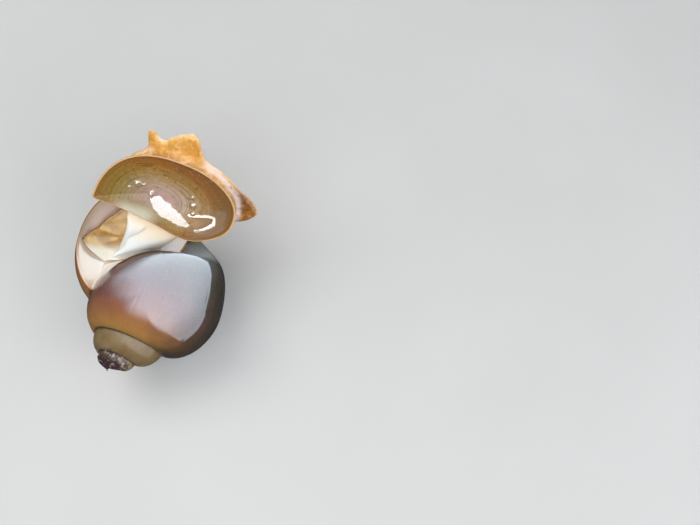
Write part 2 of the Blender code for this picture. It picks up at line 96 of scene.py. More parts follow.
def noise(x, y=0.0, z=0.0, seed=1):
    """Smooth value noise in -1..1."""
    x, y, z = np.broadcast_arrays(np.asarray(x, float), np.asarray(y, float), np.asarray(z, float))
    x, y, z = x + 4096.5, y + 4096.5, z + 4096.5
    i, j, k = np.floor(x), np.floor(y), np.floor(z)
    u, v, w = x - i, y - j, z - k
    u, v, w = (q * q * q * (q * (q * 6 - 15) + 10) for q in (u, v, w))
    i, j, k = i.astype(np.int64), j.astype(np.int64), k.astype(np.int64)
    out = 0
    for a in (0, 1):
        for b in (0, 1):
            for c in (0, 1):
                out = out + _hash(i + a, j + b, k + c, seed) * ((u if a else 1 - u) * (v if b else 1 - v)
                                                                * (w if c else 1 - w))
    return out


def fbm(p, scale, seed, octaves=3, gain=0.5):
    out, amp = 0.0, 1.0
    for o in range(octaves):
        out = out + amp * noise(p[:, 0] * scale, p[:, 1] * scale, p[:, 2] * scale, seed + o)
        scale, amp = scale * 2.03, amp * gain
    return out


def smooth(a, b, x):
    u = np.clip((np.asarray(x, float) - a) / (b - a), 0, 1)
    return u * u * (3 - 2 * u)


# ------------------------------------------------------------------ curve and coil of the shell
def outline(s):
    s = np.asarray(s, float)
    c, q = np.cos(s), np.sin(s)
    e = 2.0 / CURVE_POWER
    x = CURVE_B * np.sign(c) * np.abs(c) ** e * (1 - CURVE_EGG * q)
    y = CURVE_A * np.sign(q) * np.abs(q) ** e
    a = math.radians(CURVE_TILT)
    return CURVE_RHO + x * math.cos(a) - y * math.sin(a), CURVE_Z + x * math.sin(a) + y * math.cos(a)


def growth(t):
    return np.exp(math.log(WHORL_RATIO) / TAU * np.asarray(t, float))


def wind(t, rho, z):
    t, rho, z = np.broadcast_arrays(np.asarray(t, float), np.asarray(rho, float), np.asarray(z, float))
    g = growth(t)
    phi = -t + math.radians(GROWTH_SLANT) * (np.arctan2(rho, -z) - 0.45) / 0.8
    return np.stack([g * rho * np.cos(phi), g * rho * np.sin(phi), g * z], -1)


def suture():
    s = np.linspace(0, TAU, 7201)
    r, z = outline(s)
    th = np.unwrap(np.arctan2(z - CURVE_Z, r - CURVE_RHO))
    rad = np.hypot(r - CURVE_RHO, z - CURVE_Z)
    r2, z2 = r / WHORL_RATIO, z / WHORL_RATIO
    q = th[0] + np.mod(np.arctan2(z2 - CURVE_Z, r2 - CURVE_RHO) - th[0], TAU)
    lev = np.hypot(r2 - CURVE_RHO, z2 - CURVE_Z) / np.interp(q, th, rad) - 1
    i = np.nonzero((lev[:-1] > 0) != (lev[1:] > 0))[0]
    k = max(i, key=lambda j: r2[j])
    sb = s[k] + (s[k + 1] - s[k]) * lev[k] / (lev[k] - lev[k + 1])
    rb, zb = outline(sb)
    sa = s[np.argmin((r - rb / WHORL_RATIO) ** 2 + (z - zb / WHORL_RATIO) ** 2)]
    return float(sa), float(sb)


def reach(centre, angles, wall, edge=None):
    """How far the mouth's inside reaches from a centre, in each direction of the section plane."""
    th = np.linspace(0, TAU, 361)[:-1]
    s = np.linspace(0, TAU, 1441)
    r, z = outline(s)

    def hit(r, z):
        d = np.full(len(th), 1e9)
        for i, a in enumerate(th):
            u = (math.cos(a), math.sin(a))
            x = (r - centre[0]) * u[0] + (z - centre[1]) * u[1]
            y = -(r - centre[0]) * u[1] + (z - centre[1]) * u[0]
            m = np.nonzero((y[:-1] > 0) != (y[1:] > 0))[0]
            f = y[m] / (y[m] - y[m + 1])
            xx = x[m] + (x[m + 1] - x[m]) * f
            xx = xx[xx > 0]
            if len(xx):
                d[i] = xx.min()
        return d
    c = np.cos(th)
    pillar = np.where(c < -1e-3, (centre[0] - COLUMELLA) / np.maximum(-c, 1e-3), 1e9)
    d = np.minimum(np.minimum(hit(r, z), hit(r / WHORL_RATIO, z / WHORL_RATIO)), pillar) - wall
    if edge is not None:
        d = np.minimum(d, np.where(c > 1e-3, (edge - centre[0]) / np.maximum(c, 1e-3), 1e9))
    for _ in range(24):
        d = 0.25 * np.roll(d, 1) + 0.5 * d + 0.25 * np.roll(d, -1)
    return np.interp(np.mod(angles, TAU), np.append(th, TAU), np.append(d, d[0]))


def mouth_reach(angles, wall):
    """The mouth's inside, with the hind corner filled by a pad of callus."""
    angles = np.asarray(angles, float)
    r, z = outline(suture()[0])
    at = math.atan2(z - MOUTH_CENTRE[1], r - MOUTH_CENTRE[0])
    far = math.hypot(z - MOUTH_CENTRE[1], r - MOUTH_CENTRE[0]) - CORNER_PAD / SHELL_UNIT
    d = reach(MOUTH_CENTRE, angles, wall)
    c = np.cos(angles - at)
    chord = np.where(c > 0.05, far / np.maximum(c, 0.05), 99.0)
    k = 1.5
    return -k * np.log(np.exp(-d / k) + np.exp(-np.minimum(chord, 60.0) / k))


def attitude():
    a, b = math.radians(AXIS_ANGLE), math.radians(AXIS_TILT)
    ax = np.array([math.cos(a) * math.cos(b), math.sin(a) * math.cos(b), math.sin(b)])
    x = np.array([0, 0, 1.0]) - ax * ax[2]
    x /= np.linalg.norm(x)
    y = np.cross(ax, x)
    g = math.radians(AXIS_SPIN)
    x2 = x * math.cos(g) + y * math.sin(g)
    return np.stack([x2, np.cross(ax, x2), ax], 1)


SHELL_AXES = attitude()
COS_V, SIN_V = math.cos(math.radians(VIEW_ELEVATION)), math.sin(math.radians(VIEW_ELEVATION))


def pose(v):
    return (np.asarray(v, float) + np.array([0, 0, 33.0])) * SHELL_UNIT @ SHELL_AXES.T


def unpose(p):
    return np.asarray(p, float) @ SHELL_AXES / SHELL_UNIT - np.array([0, 0, 33.0])


def level(p):
    """Pose millimetres to millimetres over the floor."""
    p = np.asarray(p, float)
    return np.stack([p[..., 0] - SHIFT_X, SIN_V * p[..., 1] - COS_V * p[..., 2] - SHIFT_Y,
                     COS_V * p[..., 1] + SIN_V * p[..., 2] + FLOOR_DEPTH], -1)


def unlevel(w):
    x, y, z = w[..., 0] + SHIFT_X, w[..., 1] + SHIFT_Y, w[..., 2] - FLOOR_DEPTH
    return np.stack([x, SIN_V * y + COS_V * z, -COS_V * y + SIN_V * z], -1)


# ------------------------------------------------------------------ mesh helpers
def mesh_of(name, v, quads=(), tris=(), recalc=True):
    me = bpy.data.meshes.new(name)
    me.from_pydata(np.asarray(v, float).tolist(), [], [list(map(int, f)) for f in quads] + [list(map(int, f)) for f in tris])
    me.validate()
    if recalc:
        bm = bmesh.new()
        bm.from_mesh(me)
        bmesh.ops.recalc_face_normals(bm, faces=bm.faces)
        bm.to_mesh(me)
        bm.free()
    me.update()
    return me


def object_of(name, me):
    o = bpy.data.objects.new(name, me)
    bpy.context.scene.collection.objects.link(o)
    return o


def coords(me):
    v = np.zeros(len(me.vertices) * 3)
    me.vertices.foreach_get("co", v)
    return v.reshape(-1, 3)


def set_coords(me, v):
    me.vertices.foreach_set("co", np.asarray(v, float).ravel())
    me.update()


def normals(me):
    n = np.zeros(len(me.vertices) * 3, np.float32)
    me.vertex_normals.foreach_get("vector", n)
    return n.reshape(-1, 3).astype(float)


def attribute(me, name, values):
    values = np.asarray(values, float)
    if values.ndim == 1:
        a = me.attributes.new(name, "FLOAT", "POINT")
        a.data.foreach_set("value", values)
    else:
        a = me.attributes.new(name, "FLOAT_VECTOR", "POINT")
        a.data.foreach_set("vector", values.ravel())


def edges_of(me):
    e = np.zeros(len(me.edges) * 2, np.int64)
    me.edges.foreach_get("vertices", e)
    return e.reshape(-1, 2)


def relax(v, e, rounds, amount=0.5, mask=None):
    """Laplacian smoothing over edges; mask scales it per vertex."""
    n = len(v)
    deg = np.bincount(e.ravel(), minlength=n).astype(float)
    deg[deg == 0] = 1
    k = amount if mask is None else (amount * mask)[:, None]
    for _ in range(rounds):
        acc = np.stack([np.bincount(e[:, 0], v[e[:, 1], c], n) + np.bincount(e[:, 1], v[e[:, 0], c], n)
                        for c in range(v.shape[1])], 1)
        v = v + k * (acc / deg[:, None] - v)
    return v


def distances(points, meshes, far=8.0):
    """Distance from each point to the nearest of some meshes, no more than far."""
    v, f = [], []
    for vv, qq, tt in meshes:
        f += (qq + len(v)).tolist() + (tt + len(v)).tolist()
        v += level(vv).tolist()
    tree = BVHTree.FromPolygons(v, f)
    d = np.full(len(points), far)
    for i, p in enumerate(points.tolist()):
        hit = tree.find_nearest(p, far)
        if hit[3] is not None:
            d[i] = hit[3]
    return d


# ------------------------------------------------------------------ material helpers
class Paint:
    """A small builder for one material's nodes."""

    def __init__(self, name):
        self.mat = bpy.data.materials.new(name)
        self.mat.use_nodes = True
        self.tree = self.mat.node_tree
        self.bsdf = self.tree.nodes["Principled BSDF"]
        self.place = self.tree.nodes.new("ShaderNodeTexCoord").outputs["Object"]

    def new(self, kind, **values):
        n = self.tree.nodes.new(kind)
        for k, v in values.items():
            setattr(n, k, v)
        return n

    def put(self, socket, value):
        if isinstance(value, bpy.types.NodeSocket):
            self.tree.links.new(value, socket)
        elif value is not None:
            if isinstance(value, tuple) and len(value) == 3 and socket.type == "RGBA":
                value = (*value, 1.0)
            socket.default_value = value

    def set(self, name, value):
        self.put(self.bsdf.inputs[name], value)

    def attr(self, name, vector=False):
        n = self.new("ShaderNodeAttribute", attribute_name=name)
        return n.outputs["Vector" if vector else "Fac"]

    def math(self, op, a, b=None, c=None, clamp=False):
        n = self.new("ShaderNodeMath", operation=op, use_clamp=clamp)
        for s, v in zip(n.inputs, (a, b, c)):
            self.put(s, v)
        return n.outputs[0]

    def scale(self, vec, by):
        n = self.new("ShaderNodeVectorMath", operation="MULTIPLY")
        self.put(n.inputs[0], vec)
        self.put(n.inputs[1], by)
        return n.outputs[0]

    def noise(self, scale, detail=3.0, rough=0.55, vec=None, distort=0.0):
        n = self.new("ShaderNodeTexNoise")
        self.put(n.inputs["Vector"], self.place if vec is None else vec)
        n.inputs["Scale"].default_value = scale
        n.inputs["Detail"].default_value = detail
        n.inputs["Roughness"].default_value = rough
        n.inputs["Distortion"].default_value = distort
        return n.outputs["Fac"]

    def cells(self, scale, vec=None, feature="F1", out="Distance"):
        n = self.new("ShaderNodeTexVoronoi", feature=feature)
        self.put(n.inputs["Vector"], self.place if vec is None else vec)
        n.inputs["Scale"].default_value = scale
        return n.outputs[out]

    def fit(self, value, a, b, c=0.0, d=1.0, kind="SMOOTHSTEP"):
        n = self.new("ShaderNodeMapRange", interpolation_type=kind)
        self.put(n.inputs["Value"], value)
        for k, x in (("From Min", a), ("From Max", b), ("To Min", c), ("To Max", d)):
            n.inputs[k].default_value = x
        return n.outputs["Result"]

    def ramp(self, value, stops, kind="LINEAR"):
        n = self.new("ShaderNodeValToRGB")
        n.color_ramp.interpolation = kind
        while len(n.color_ramp.elements) < len(stops):
            n.color_ramp.elements.new(0.5)
        for e, (p, c) in zip(n.color_ramp.elements, stops):
            e.position = p
            e.color = (*c, 1.0)
        self.put(n.inputs["Fac"], value)
        return n.outputs["Color"]

    def mix(self, fac, a, b, kind="MIX"):
        n = self.new("ShaderNodeMix", data_type="RGBA", blend_type=kind)
        self.put(n.inputs[0], fac)
        self.put(n.inputs[6], a)
        self.put(n.inputs[7], b)
        return n.outputs[2]

    def bump(self, height, distance, strength=1.0, normal=None):
        n = self.new("ShaderNodeBump")
        n.inputs["Strength"].default_value = strength
        n.inputs["Distance"].default_value = distance
        self.put(n.inputs["Height"], height)
        if normal is not None:
            self.put(n.inputs["Normal"], normal)
        return n.outputs["Normal"]


# ------------------------------------------------------------------ shell
def shell_piece():
    nt, na, nb, nr, nax, lip_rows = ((840, 26, 88, 16, 60, 22))
    sa, sb = suture()
    n_all = int(round(TURNS * nt))
    first = n_all - nt
    top = na + nb + nr
    ti = -TAU * (n_all - np.arange(n_all + 1)) / nt
    # section rows: shoulder between the sutures, then flank and base
    u = np.linspace(0, 1, na + 1)
    s_band = sa + (sb - sa) * u
    s_base = sb + (S_BASE - sb) * np.arange(1, nb + 1) / nb
    s_rows = np.concatenate([s_band, s_base])
    r_rows, z_rows = outline(s_rows)
    arc = np.concatenate([[0], np.cumsum(np.hypot(np.diff(r_rows), np.diff(z_rows)))])
    verts, kind, turn, arcs = [], [], [], []
    n = 0

    def add(p, k, t, b):
        nonlocal n
        p = np.asarray(p, float).reshape(-1, 3)
        m = len(p)
        verts.append(p)
        kind.append(np.full(m, k))
        turn.append(np.broadcast_to(np.asarray(t, float), (m,)).copy())
        arcs.append(np.broadcast_to(np.asarray(b, float), (m,)).copy())
        out = np.arange(n, n + m)
        n += m
        return out
    axis = add(np.stack([np.zeros(nax + 1), np.zeros(nax + 1),
                         UMBILICUS_HIGH + (UMBILICUS_LOW - UMBILICUS_HIGH) * np.arange(nax + 1) / nax], -1),
               2, 0.0, arc[-1] + 16)
    col = np.full((n_all + 1, top + 1), -1, int)
    T, J = np.meshgrid(ti, np.arange(1, na + 1), indexing="ij")
    ids = add(wind(T, r_rows[J], z_rows[J]), 0, T.ravel(), arc[J].ravel())
    col[:, 1:na + 1] = ids.reshape(n_all + 1, na)
    ids = add(wind(ti[:nt], r_rows[0], z_rows[0]), 0, ti[:nt], 0.0)
    col[:nt, 0] = ids
    col[nt:, 0] = col[:n_all + 1 - nt, na]
    rows = np.arange(na + 1, na + nb + 1)
    T, J = np.meshgrid(ti[first:], rows, indexing="ij")
    ids = add(wind(T, r_rows[J], z_rows[J]), 1, T.ravel(), arc[J].ravel())
    col[first:, na + 1:na + nb + 1] = ids.reshape(nt + 1, nb)
    # umbilical area
    r0, z0 = outline(S_BASE)
    r1, z1 = outline(S_BASE - 0.02)
    d = np.array([r1 - r0, z1 - z0])
    d /= np.linalg.norm(d)
    v = np.arange(1, nr) / nr
    k = nax * np.arange(nt + 1) / nt
    zax = (UMBILICUS_HIGH + (UMBILICUS_LOW - UMBILICUS_HIGH) * k / nax) / growth(ti[first:])
    p0 = np.array([r0, z0])
    p1 = p0 + d * (r0 * 0.62)
    q = ((1 - v) ** 2)[None, :, None] * p0 + (2 * v * (1 - v))[None, :, None] * p1
    q = q + (v * v)[None, :, None] * np.stack([np.zeros(nt + 1), zax], -1)[:, None, :]
    ids = add(wind(ti[first:][:, None], q[..., 0], q[..., 1]), 2, np.repeat(ti[first:], nr - 1),
              np.tile(arc[-1] + 16 * v, nt + 1))
    col[first:, na + nb + 1:top] = ids.reshape(nt + 1, nr - 1)
    col[first:, top] = axis[np.round(k).astype(int)]

    quads, tris = [], []

    def grid(a, b, c, e):
        f = np.stack([a.ravel(), b.ravel(), c.ravel(), e.ravel()], 1)
        same = f[:, 2] == f[:, 3]
        quads.append(f[~same])
        tris.append(f[same][:, :3])
    grid(col[:-1, :na], col[1:, :na], col[1:, 1:na + 1], col[:-1, 1:na + 1])
    c = col[first:]
    grid(c[:-1, na:top], c[1:, na:top], c[1:, na + 1:top + 1], c[:-1, na + 1:top + 1])
    # worn tip, in rows to its middle
    ring = np.concatenate([col[:nt + 1, 0], col[0, na - 1:0:-1]])
    allv = np.concatenate(verts)
    tip = np.array([0, 0, NUCLEUS * float(growth(-TAU * TURNS))])
    rr = allv[ring]
    prev = ring
    for f in (0.88, 0.76, 0.64, 0.52, 0.4, 0.28, 0.16, 0.07):
        p = tip + (rr - tip) * f
        p[:, 2] += 0.5 * (1 - f) * f * np.abs(rr[:, 2] - tip[2])
        ids = add(p, 5, ti[0], 0.0)
        grid(prev, ids, np.roll(ids, -1), np.roll(prev, -1))
        prev = ids
    t_id = add(tip, 5, ti[0], 0.0)[0]
    tris.append(np.stack([prev, np.roll(prev, -1), np.full(len(prev), t_id)], 1))
    # mouth
    loop = np.concatenate([col[n_all, :top + 1], axis[nax - 1:0:-1], col[first, top:na:-1]])
    allv = np.concatenate(verts)
    pts = allv[loop]
    rho, z = np.hypot(pts[:, 0], pts[:, 1]), pts[:, 2]
    ang = np.arctan2(z - MOUTH_CENTRE[1], rho - MOUTH_CENTRE[0])
    rad = np.hypot(z - MOUTH_CENTRE[1], rho - MOUTH_CENTRE[0])
    rin = np.minimum(mouth_reach(ang, WALL), rad - 0.8)
    wide = np.clip((rad - rin) / 6.0, 0, 1)
    prev = loop
    for i in range(1, lip_rows + 1):
        f = i / lip_rows
        f = f ** 1.25
        t = 0.014 * np.sin(math.pi * np.minimum(f * (1 + 5 * wide), 1.0) ** 0.5) * (1 - f) - 0.045 * f - 0.20 * f ** 4
        r = rad + (rin - rad) * f
        ids = add(wind(t, MOUTH_CENTRE[0] + r * np.cos(ang), MOUTH_CENTRE[1] + r * np.sin(ang)), 3, t, (rad - r))
        grid(prev, np.roll(prev, -1), np.roll(ids, -1), ids)
        prev = ids
    t_in = t
    deep = np.radians(np.linspace(0, CAVITY_END, 57)[1:])
    for dd in deep:
        w = min(1.0, dd / 0.35)
        t = t_in * (1 - w) - dd
        ids = add(wind(t, MOUTH_CENTRE[0] + rin * np.cos(ang), MOUTH_CENTRE[1] + rin * np.sin(ang)), 4, t, 1.0)
        grid(prev, np.roll(prev, -1), np.roll(ids, -1), ids)
        prev = ids
    mid = add(wind(-deep[-1], *MOUTH_CENTRE), 4, -deep[-1], 1.0)[0]
    tris.append(np.stack([prev, np.roll(prev, -1), np.full(len(prev), mid)], 1))

    v = np.concatenate(verts)
    kind, turn, arcs = np.concatenate(kind), np.concatenate(turn), np.concatenate(arcs)
    me = mesh_of("shell_skin", level(pose(v)), np.concatenate(quads), np.concatenate([t for t in tris if len(t)]))
    e = edges_of(me)
    w = coords(me)
    nrm = normals(me)
    sh = v                                               # shell frame, apex up
    g = growth(turn)
    turns = turn / TAU
    # ---- worn tip
    tipd = np.linalg.norm(sh - tip, axis=1)
    wear = smooth(9.5, 3.2, tipd + 1.6 * fbm(sh, 0.45, 31, 3) + 0.8 * fbm(sh, 1.6, 35, 2)) * (kind != 3) * (kind != 4)
    w = relax(w, e, 90, 0.5, smooth(4.6, 2.2, tipd))
    outside = np.isin(kind, (0, 1, 2, 5)).astype(float)
    # ---- relief of the outside: growth lines, rest marks, faint dents
    wob = 0.0035 * noise(arcs * 0.12, turns * 6, 0, 3) + 0.0012 * noise(arcs * 0.5, turns * 14, 0, 4)
    tt = turns + wob
    lines = noise(tt * 190, 0.0, 0, 11) * 0.5 + noise(tt * 95, arcs * 0.02, 0, 12) * 0.8 + noise(tt * 40, arcs * 0.03, 0, 13)
    rest = np.zeros(len(tt))
    for at, deepness in ((-0.012, 0.5), (-0.03, 0.6), (-0.052, 0.5), (-0.09, 0.35), (-0.245, 0.5), (-0.405, 0.3), (-0.63, 0.22),
                         (-0.80, 0.3), (-0.93, 0.4), (-1.21, 0.45), (-1.6, 0.35), (-1.93, 0.3)):
        x = (tt - at) / 0.0035
        rest -= deepness * np.exp(-x * x) - 0.4 * deepness * np.exp(-(x - 2.0) ** 2)
    dents = noise(w[:, 0] * 0.16, w[:, 1] * 0.16, w[:, 2] * 0.16, 21) * 0.10 + noise(w[:, 0] * 0.45, w[:, 1] * 0.45, w[:, 2] * 0.45, 22) * 0.022
    height = outside * (0.012 * lines * g ** 0.5 + 0.085 * rest * g ** 0.7 + dents * g - 0.05)
    # groove at the suture
    band = np.minimum(arcs, np.where((kind == 0) & (turns < -0.9995), arc[na] - arcs, 99.0))
    near = np.exp(-(band * g / 0.38) ** 2) * (kind == 0)
    height -= 0.13 * near * outside * g ** 0.3
    # worn tip: pits and flakes
    flake = fbm(sh, 1.1, 41, 3)
    pits = smooth(0.15, 0.7, noise(sh[:, 0] * 1.8, sh[:, 1] * 1.8, sh[:, 2] * 1.8, 45))
    height -= wear * (0.16 + 0.06 * flake + 0.10 * pits)
    # callus edge on the body whorl in front of the mouth
    front = (turns + 1.0) * TAU * 20.0                   # about mm past the mouth along the earlier whorl
    callus = ((kind == 1) | (kind == 2)) * smooth(3.0, 0.4, front + 0.25 * noise(arcs * 0.4, 0, 0, 51)) * (turns > -1.001)
    height += 0.10 * callus * smooth(0.0, 0.5, front + 0.3)
    lipfade = smooth(0.0, 0.6, -turn * 20.0)
    w = w + nrm * (height * np.where(kind == 0, 1, 1) * np.where(turns > -0.02, lipfade, 1.0))[:, None]
    # inside of the mouth: soft swell and ripples
    inner = np.isin(kind, (3, 4)).astype(float)
    w = w + nrm * (inner * 0.03 * noise(w[:, 0] * 0.5, w[:, 1] * 0.5, w[:, 2] * 0.5, 61) * smooth(0.3, 1, arcs))[:, None]
    w = relax(w, e, 24, 0.5, smooth(1.7, 0.8, tipd))
    w = relax(w, e, 90, 0.5, (kind == 5).astype(float))
    w = relax(w, e, 40, 0.5, (kind == 3) * smooth(0.9, 3.0, arcs))
    w[:, 2] = np.maximum(w[:, 2], 0.0)
    set_coords(me, w * 0.001)
    me.shade_smooth()
    # ---- masks
    # the inner lip: the side of the mouth that lies on the earlier whorl
    side = (np.arange(len(loop)) >= top + nax).astype(float)
    for _ in range(12):
        side = 0.25 * np.roll(side, 1) + 0.5 * side + 0.25 * np.roll(side, -1)
    parietal = np.zeros(len(kind))
    parietal[kind == 3] = np.tile(side, lip_rows)
    attribute(me, "parietal", parietal * smooth(6.5, 0.6, arcs))
    attribute(me, "grow", np.stack([tt, arcs, np.zeros(len(tt))], 1))
    attribute(me, "inner", np.where(kind == 3, smooth(0.15, 0.55, arcs), (kind == 4) * 1.0))
    attribute(me, "depth", np.where(kind >= 3, np.clip(-turn * 22.0, 0, 99), 0.0) * (kind != 5))
    attribute(me, "callus", callus)
    attribute(me, "pillar", smooth(6.4, 4.0, np.hypot(sh[:, 0], sh[:, 1])) * (kind == 3))
    attribute(me, "wear", wear)
    attribute(me, "seam", np.clip(near, 0, 1))
    attribute(me, "lip", smooth(3.4, 0.4, -turn * 22.0) * (turn > -0.3) * outside)
    attribute(me, "flake", smooth(-0.2, 0.9, flake + 0.5 * pits))
    attribute(me, "turn", turns)
    attribute(me, "arc", arcs)
    o = object_of("shell_skin", me)
    return o


def shell_paint():
    p = Paint("shell_wet")
    grow = p.attr("grow", True)
    arc, turn = p.attr("arc"), p.attr("turn")
    inner, depth, callus = p.attr("inner"), p.attr("depth"), p.attr("callus")
    wear, seam, lip, flake = p.attr("wear"), p.attr("seam"), p.attr("lip"), p.attr("flake")
    streak = p.noise(1.0, 4, 0.6, p.scale(grow, (420.0, 0.10, 0.0)))
    broad = p.noise(1.0, 3, 0.5, p.scale(grow, (26.0, 0.12, 0.0)))
    cloud = p.noise(170.0, 4, 0.55)
    grain = p.noise(2600.0, 2, 0.6)
    shift = p.math("MULTIPLY_ADD", cloud, 9.0, p.math("MULTIPLY_ADD", broad, 5.0, -7.0))
    place = p.math("ADD", arc, shift)
    # across the whorl: tan-orange by the suture, purple brown on the flank, dark olive at the base; the darkest end by
    # the umbilicus is partly painted shade under the foot and operculum
    body = p.ramp(p.fit(place, 0.0, 60.0, kind="LINEAR"), (
        (0.0, (0.31, 0.150, 0.034)), (0.08, (0.33, 0.160, 0.040)), (0.20, (0.25, 0.098, 0.042)), (0.32, (0.155, 0.060, 0.046)),
        (0.50, (0.090, 0.042, 0.038)), (0.68, (0.056, 0.031, 0.018)), (0.85, (0.043, 0.028, 0.011)), (1.0, (0.034, 0.023, 0.009))))
    # a darker olive stretch round the side of the last whorl, partly its own colour and partly painted shade on that
    # side
    late_olive_shade = p.math("MULTIPLY", p.fit(p.math("MULTIPLY_ADD", broad, 0.10, turn), -0.70, -0.52), p.fit(turn, -0.06, -0.16))
    body = p.mix(p.math("MULTIPLY", late_olive_shade, 0.9), body, (0.023, 0.016, 0.007))
    # older whorls are olive tan
    old = p.fit(turn, -1.02, -1.10)
    spire = p.ramp(p.math("ADD", p.math("MULTIPLY", cloud, 0.6), p.math("MULTIPLY", broad, 0.4)), (
        (0.25, (0.115, 0.066, 0.024)), (0.5, (0.180, 0.118, 0.050)), (0.75, (0.22, 0.17, 0.085))))
    col = p.mix(old, body, spire)
    col = p.mix(p.fit(streak, 0.52, 0.80, 0.0, 0.35), col, (0.035, 0.022, 0.014))
    col = p.mix(p.fit(streak, 0.45, 0.20, 0.0, 0.22), col, (0.34, 0.23, 0.15))
    col = p.mix(p.fit(grain, 0.55, 0.75, 0.0, 0.18), col, (0.30, 0.24, 0.20))
    # young edge of the outer lip, amber
    col = p.mix(p.math("MULTIPLY", lip, 0.85), col, (0.42, 0.14, 0.018))
    # suture with a dark line
    col = p.mix(p.math("MULTIPLY", seam, 0.8), col, (0.02, 0.014, 0.008))
    # worn tip
    worn = p.ramp(flake, ((0.0, (0.024, 0.012, 0.016)), (0.45, (0.05, 0.022, 0.028)), (0.70, (0.10, 0.060, 0.052)), (0.90, (0.17, 0.135, 0.10)), (1.0, (0.34, 0.29, 0.23))))
    col = p.mix(wear, col, worn)
    # inside: pink-white, going ochre and then dark brown with depth, the deeper darkening being painted shade of the
    # cavity; thin orange edge
    nacre_deep_shade = p.ramp(p.fit(depth, 0.0, 30.0, kind="LINEAR"), (
        (0.0, (0.60, 0.44, 0.29)), (0.02, (0.64, 0.52, 0.38)), (0.06, (0.66, 0.56, 0.46)), (0.14, (0.76, 0.67, 0.64)), (0.24, (0.82, 0.70, 0.70)),
        (0.38, (0.90, 0.74, 0.70)),
        (0.6, (0.60, 0.40, 0.27)),
        (1.0, (0.12, 0.06, 0.02))))
    edge = p.mix(p.fit(inner, 0.0, 0.9), (0.36, 0.11, 0.018), nacre_deep_shade)
    edge = p.mix(p.math("MULTIPLY", p.attr("pillar"), 0.85), edge, (0.27, 0.165, 0.085))
    edge = p.mix(p.math("MULTIPLY", p.attr("parietal"), 0.9), edge, (0.38, 0.26, 0.155))
    col = p.mix(p.fit(inner, 0.0, 0.15), col, edge)
    cal = p.mix(p.fit(callus, 0.62, 0.97), (0.30, 0.19, 0.095), (0.74, 0.62, 0.48))
    col = p.mix(p.fit(callus, 0.02, 0.45), col, cal)
    p.set("Base Color", col)
    rough = p.math("ADD", p.math("MULTIPLY_ADD", wear, 0.35, 0.34), p.math("MULTIPLY", cloud, 0.12))
    p.set("Roughness", rough)
    p.set("Specular IOR Level", 0.12)
    # wet and glossy on the last whorl, duller on the earlier ones and in the umbilical hollow
    p.set("Coat Weight", p.math("MULTIPLY", p.fit(arc, 50.5, 54.5, 1.0, 0.0), p.fit(turn, -1.02, -0.99, 0.22, 1.0)))
    p.set("Coat Roughness", 0.05)
    p.set("Coat IOR", 1.5)
    fine = p.math("ADD", p.math("MULTIPLY", streak, 1.0), p.math("MULTIPLY", grain, 0.5))
    n1 = p.bump(fine, 0.000025, 0.8)
    p.set("Normal", n1)
    n2 = p.bump(p.math("ADD", p.noise(900.0, 2, 0.5), p.math("MULTIPLY", wear, p.noise(2200.0, 3, 0.6))), 0.000006, 1.0)
    p.set("Coat Normal", n2)
    return p.mat


# ------------------------------------------------------------------ operculum
def op_frame():
    n = np.array(OP_NORMAL, float)
    n /= np.linalg.norm(n)
    u = np.array(OP_LONG, float)
    u -= n * (u @ n)
    u /= np.linalg.norm(u)
    return u, np.cross(n, u), n


def op_place(a, b, w):
    u, v, n = op_frame()
    a, b, w = np.broadcast_arrays(a, b, w)
    return np.array(OP_CENTRE) + a[..., None] * u + b[..., None] * v + w[..., None] * n


def op_radius(theta):
    x = np.linspace(-1, 1, 2401)
    lift = 0.11 + 0.29 * np.clip(x, 0, 1) ** 2
    up = np.sqrt(np.clip(1 - np.abs(x) ** 2.5, 0, 1)) ** 0.86
    power = np.where(x > 0, 3.6, 7.0)
    dn = np.sqrt(np.clip(1 - np.abs(x) ** power, 0, 1))
    top = lift + (1 - lift) * up
    low = (lift - lift * dn - 0.035 * np.cos(x * 2.6) * dn + 0.03 * dn * np.cos(x * 6.5)
           + 0.13 * dn * np.exp(-((x + 0.5) / 0.4) ** 2))
    a = np.concatenate([x, x[::-1]]) * OP_LENGTH / 2
    b = (np.concatenate([top, low[::-1]]) - 0.5) * OP_HEIGHT
    th = np.arctan2(b, a)
    r = np.hypot(a, b)
    order = np.argsort(th)
    th, r = th[order], r[order]
    th = np.concatenate([th[-9:] - TAU, th, th[:9] + TAU])
    r = np.concatenate([r[-9:], r, r[:9]])
    return np.interp(np.arctan2(np.sin(theta), np.cos(theta)), th, r)


_OPT = np.linspace(0, TAU, 1441)
_OPR = op_radius(_OPT)
for _ in range(30):                                      # the rim, without the corners of its sampling
    _OPR = 0.25 * np.roll(_OPR[:-1], 1) + 0.5 * _OPR[:-1] + 0.25 * np.roll(_OPR[:-1], -1)
    _OPR = np.append(_OPR, _OPR[0])


def op_rim(theta):
    return np.interp(np.mod(theta, TAU), _OPT, _OPR)


def op_face(q):
    return -OP_DISH * (1 - np.asarray(q, float) ** 2.2)


OP_NUCLEUS = (-4.6, -4.4)
# film of water on the plate: its outline, and a bent thin run beside it
OP_FILM = ((-4.2, -3.7), (-3.4, -2.5), (-1.8, -2.0), (-0.4, -2.9), (0.9, -3.2), (3.6, -4.5), (6.6, -6.2), (8.2, -7.2), (7.9, -8.3), (5.6, -8.6),
           (2.5, -7.9), (-0.4, -7.2), (-2.9, -6.0))
OP_RUN = ((10.1, -8.3), (11.4, -7.4), (12.9, -6.0), (14.1, -4.4), (13.7, -2.6), (12.0, -2.7), (10.2, -3.7), (8.6, -4.3), (7.2, -4.6))
# drops of water on the plate: across, up, radius, height
OP_DROPS = ((-8.5, -0.6, 1.0, 0.20), (-6.9, -0.1, 0.5, 0.12), (-4.3, -2.0, 0.9, 0.18), (6.2, 1.0, 0.6, 0.14), (7.2, -1.3, 0.9, 0.16),
            (7.9, -3.6, 0.6, 0.12), (-10.4, -2.2, 0.45, 0.10))


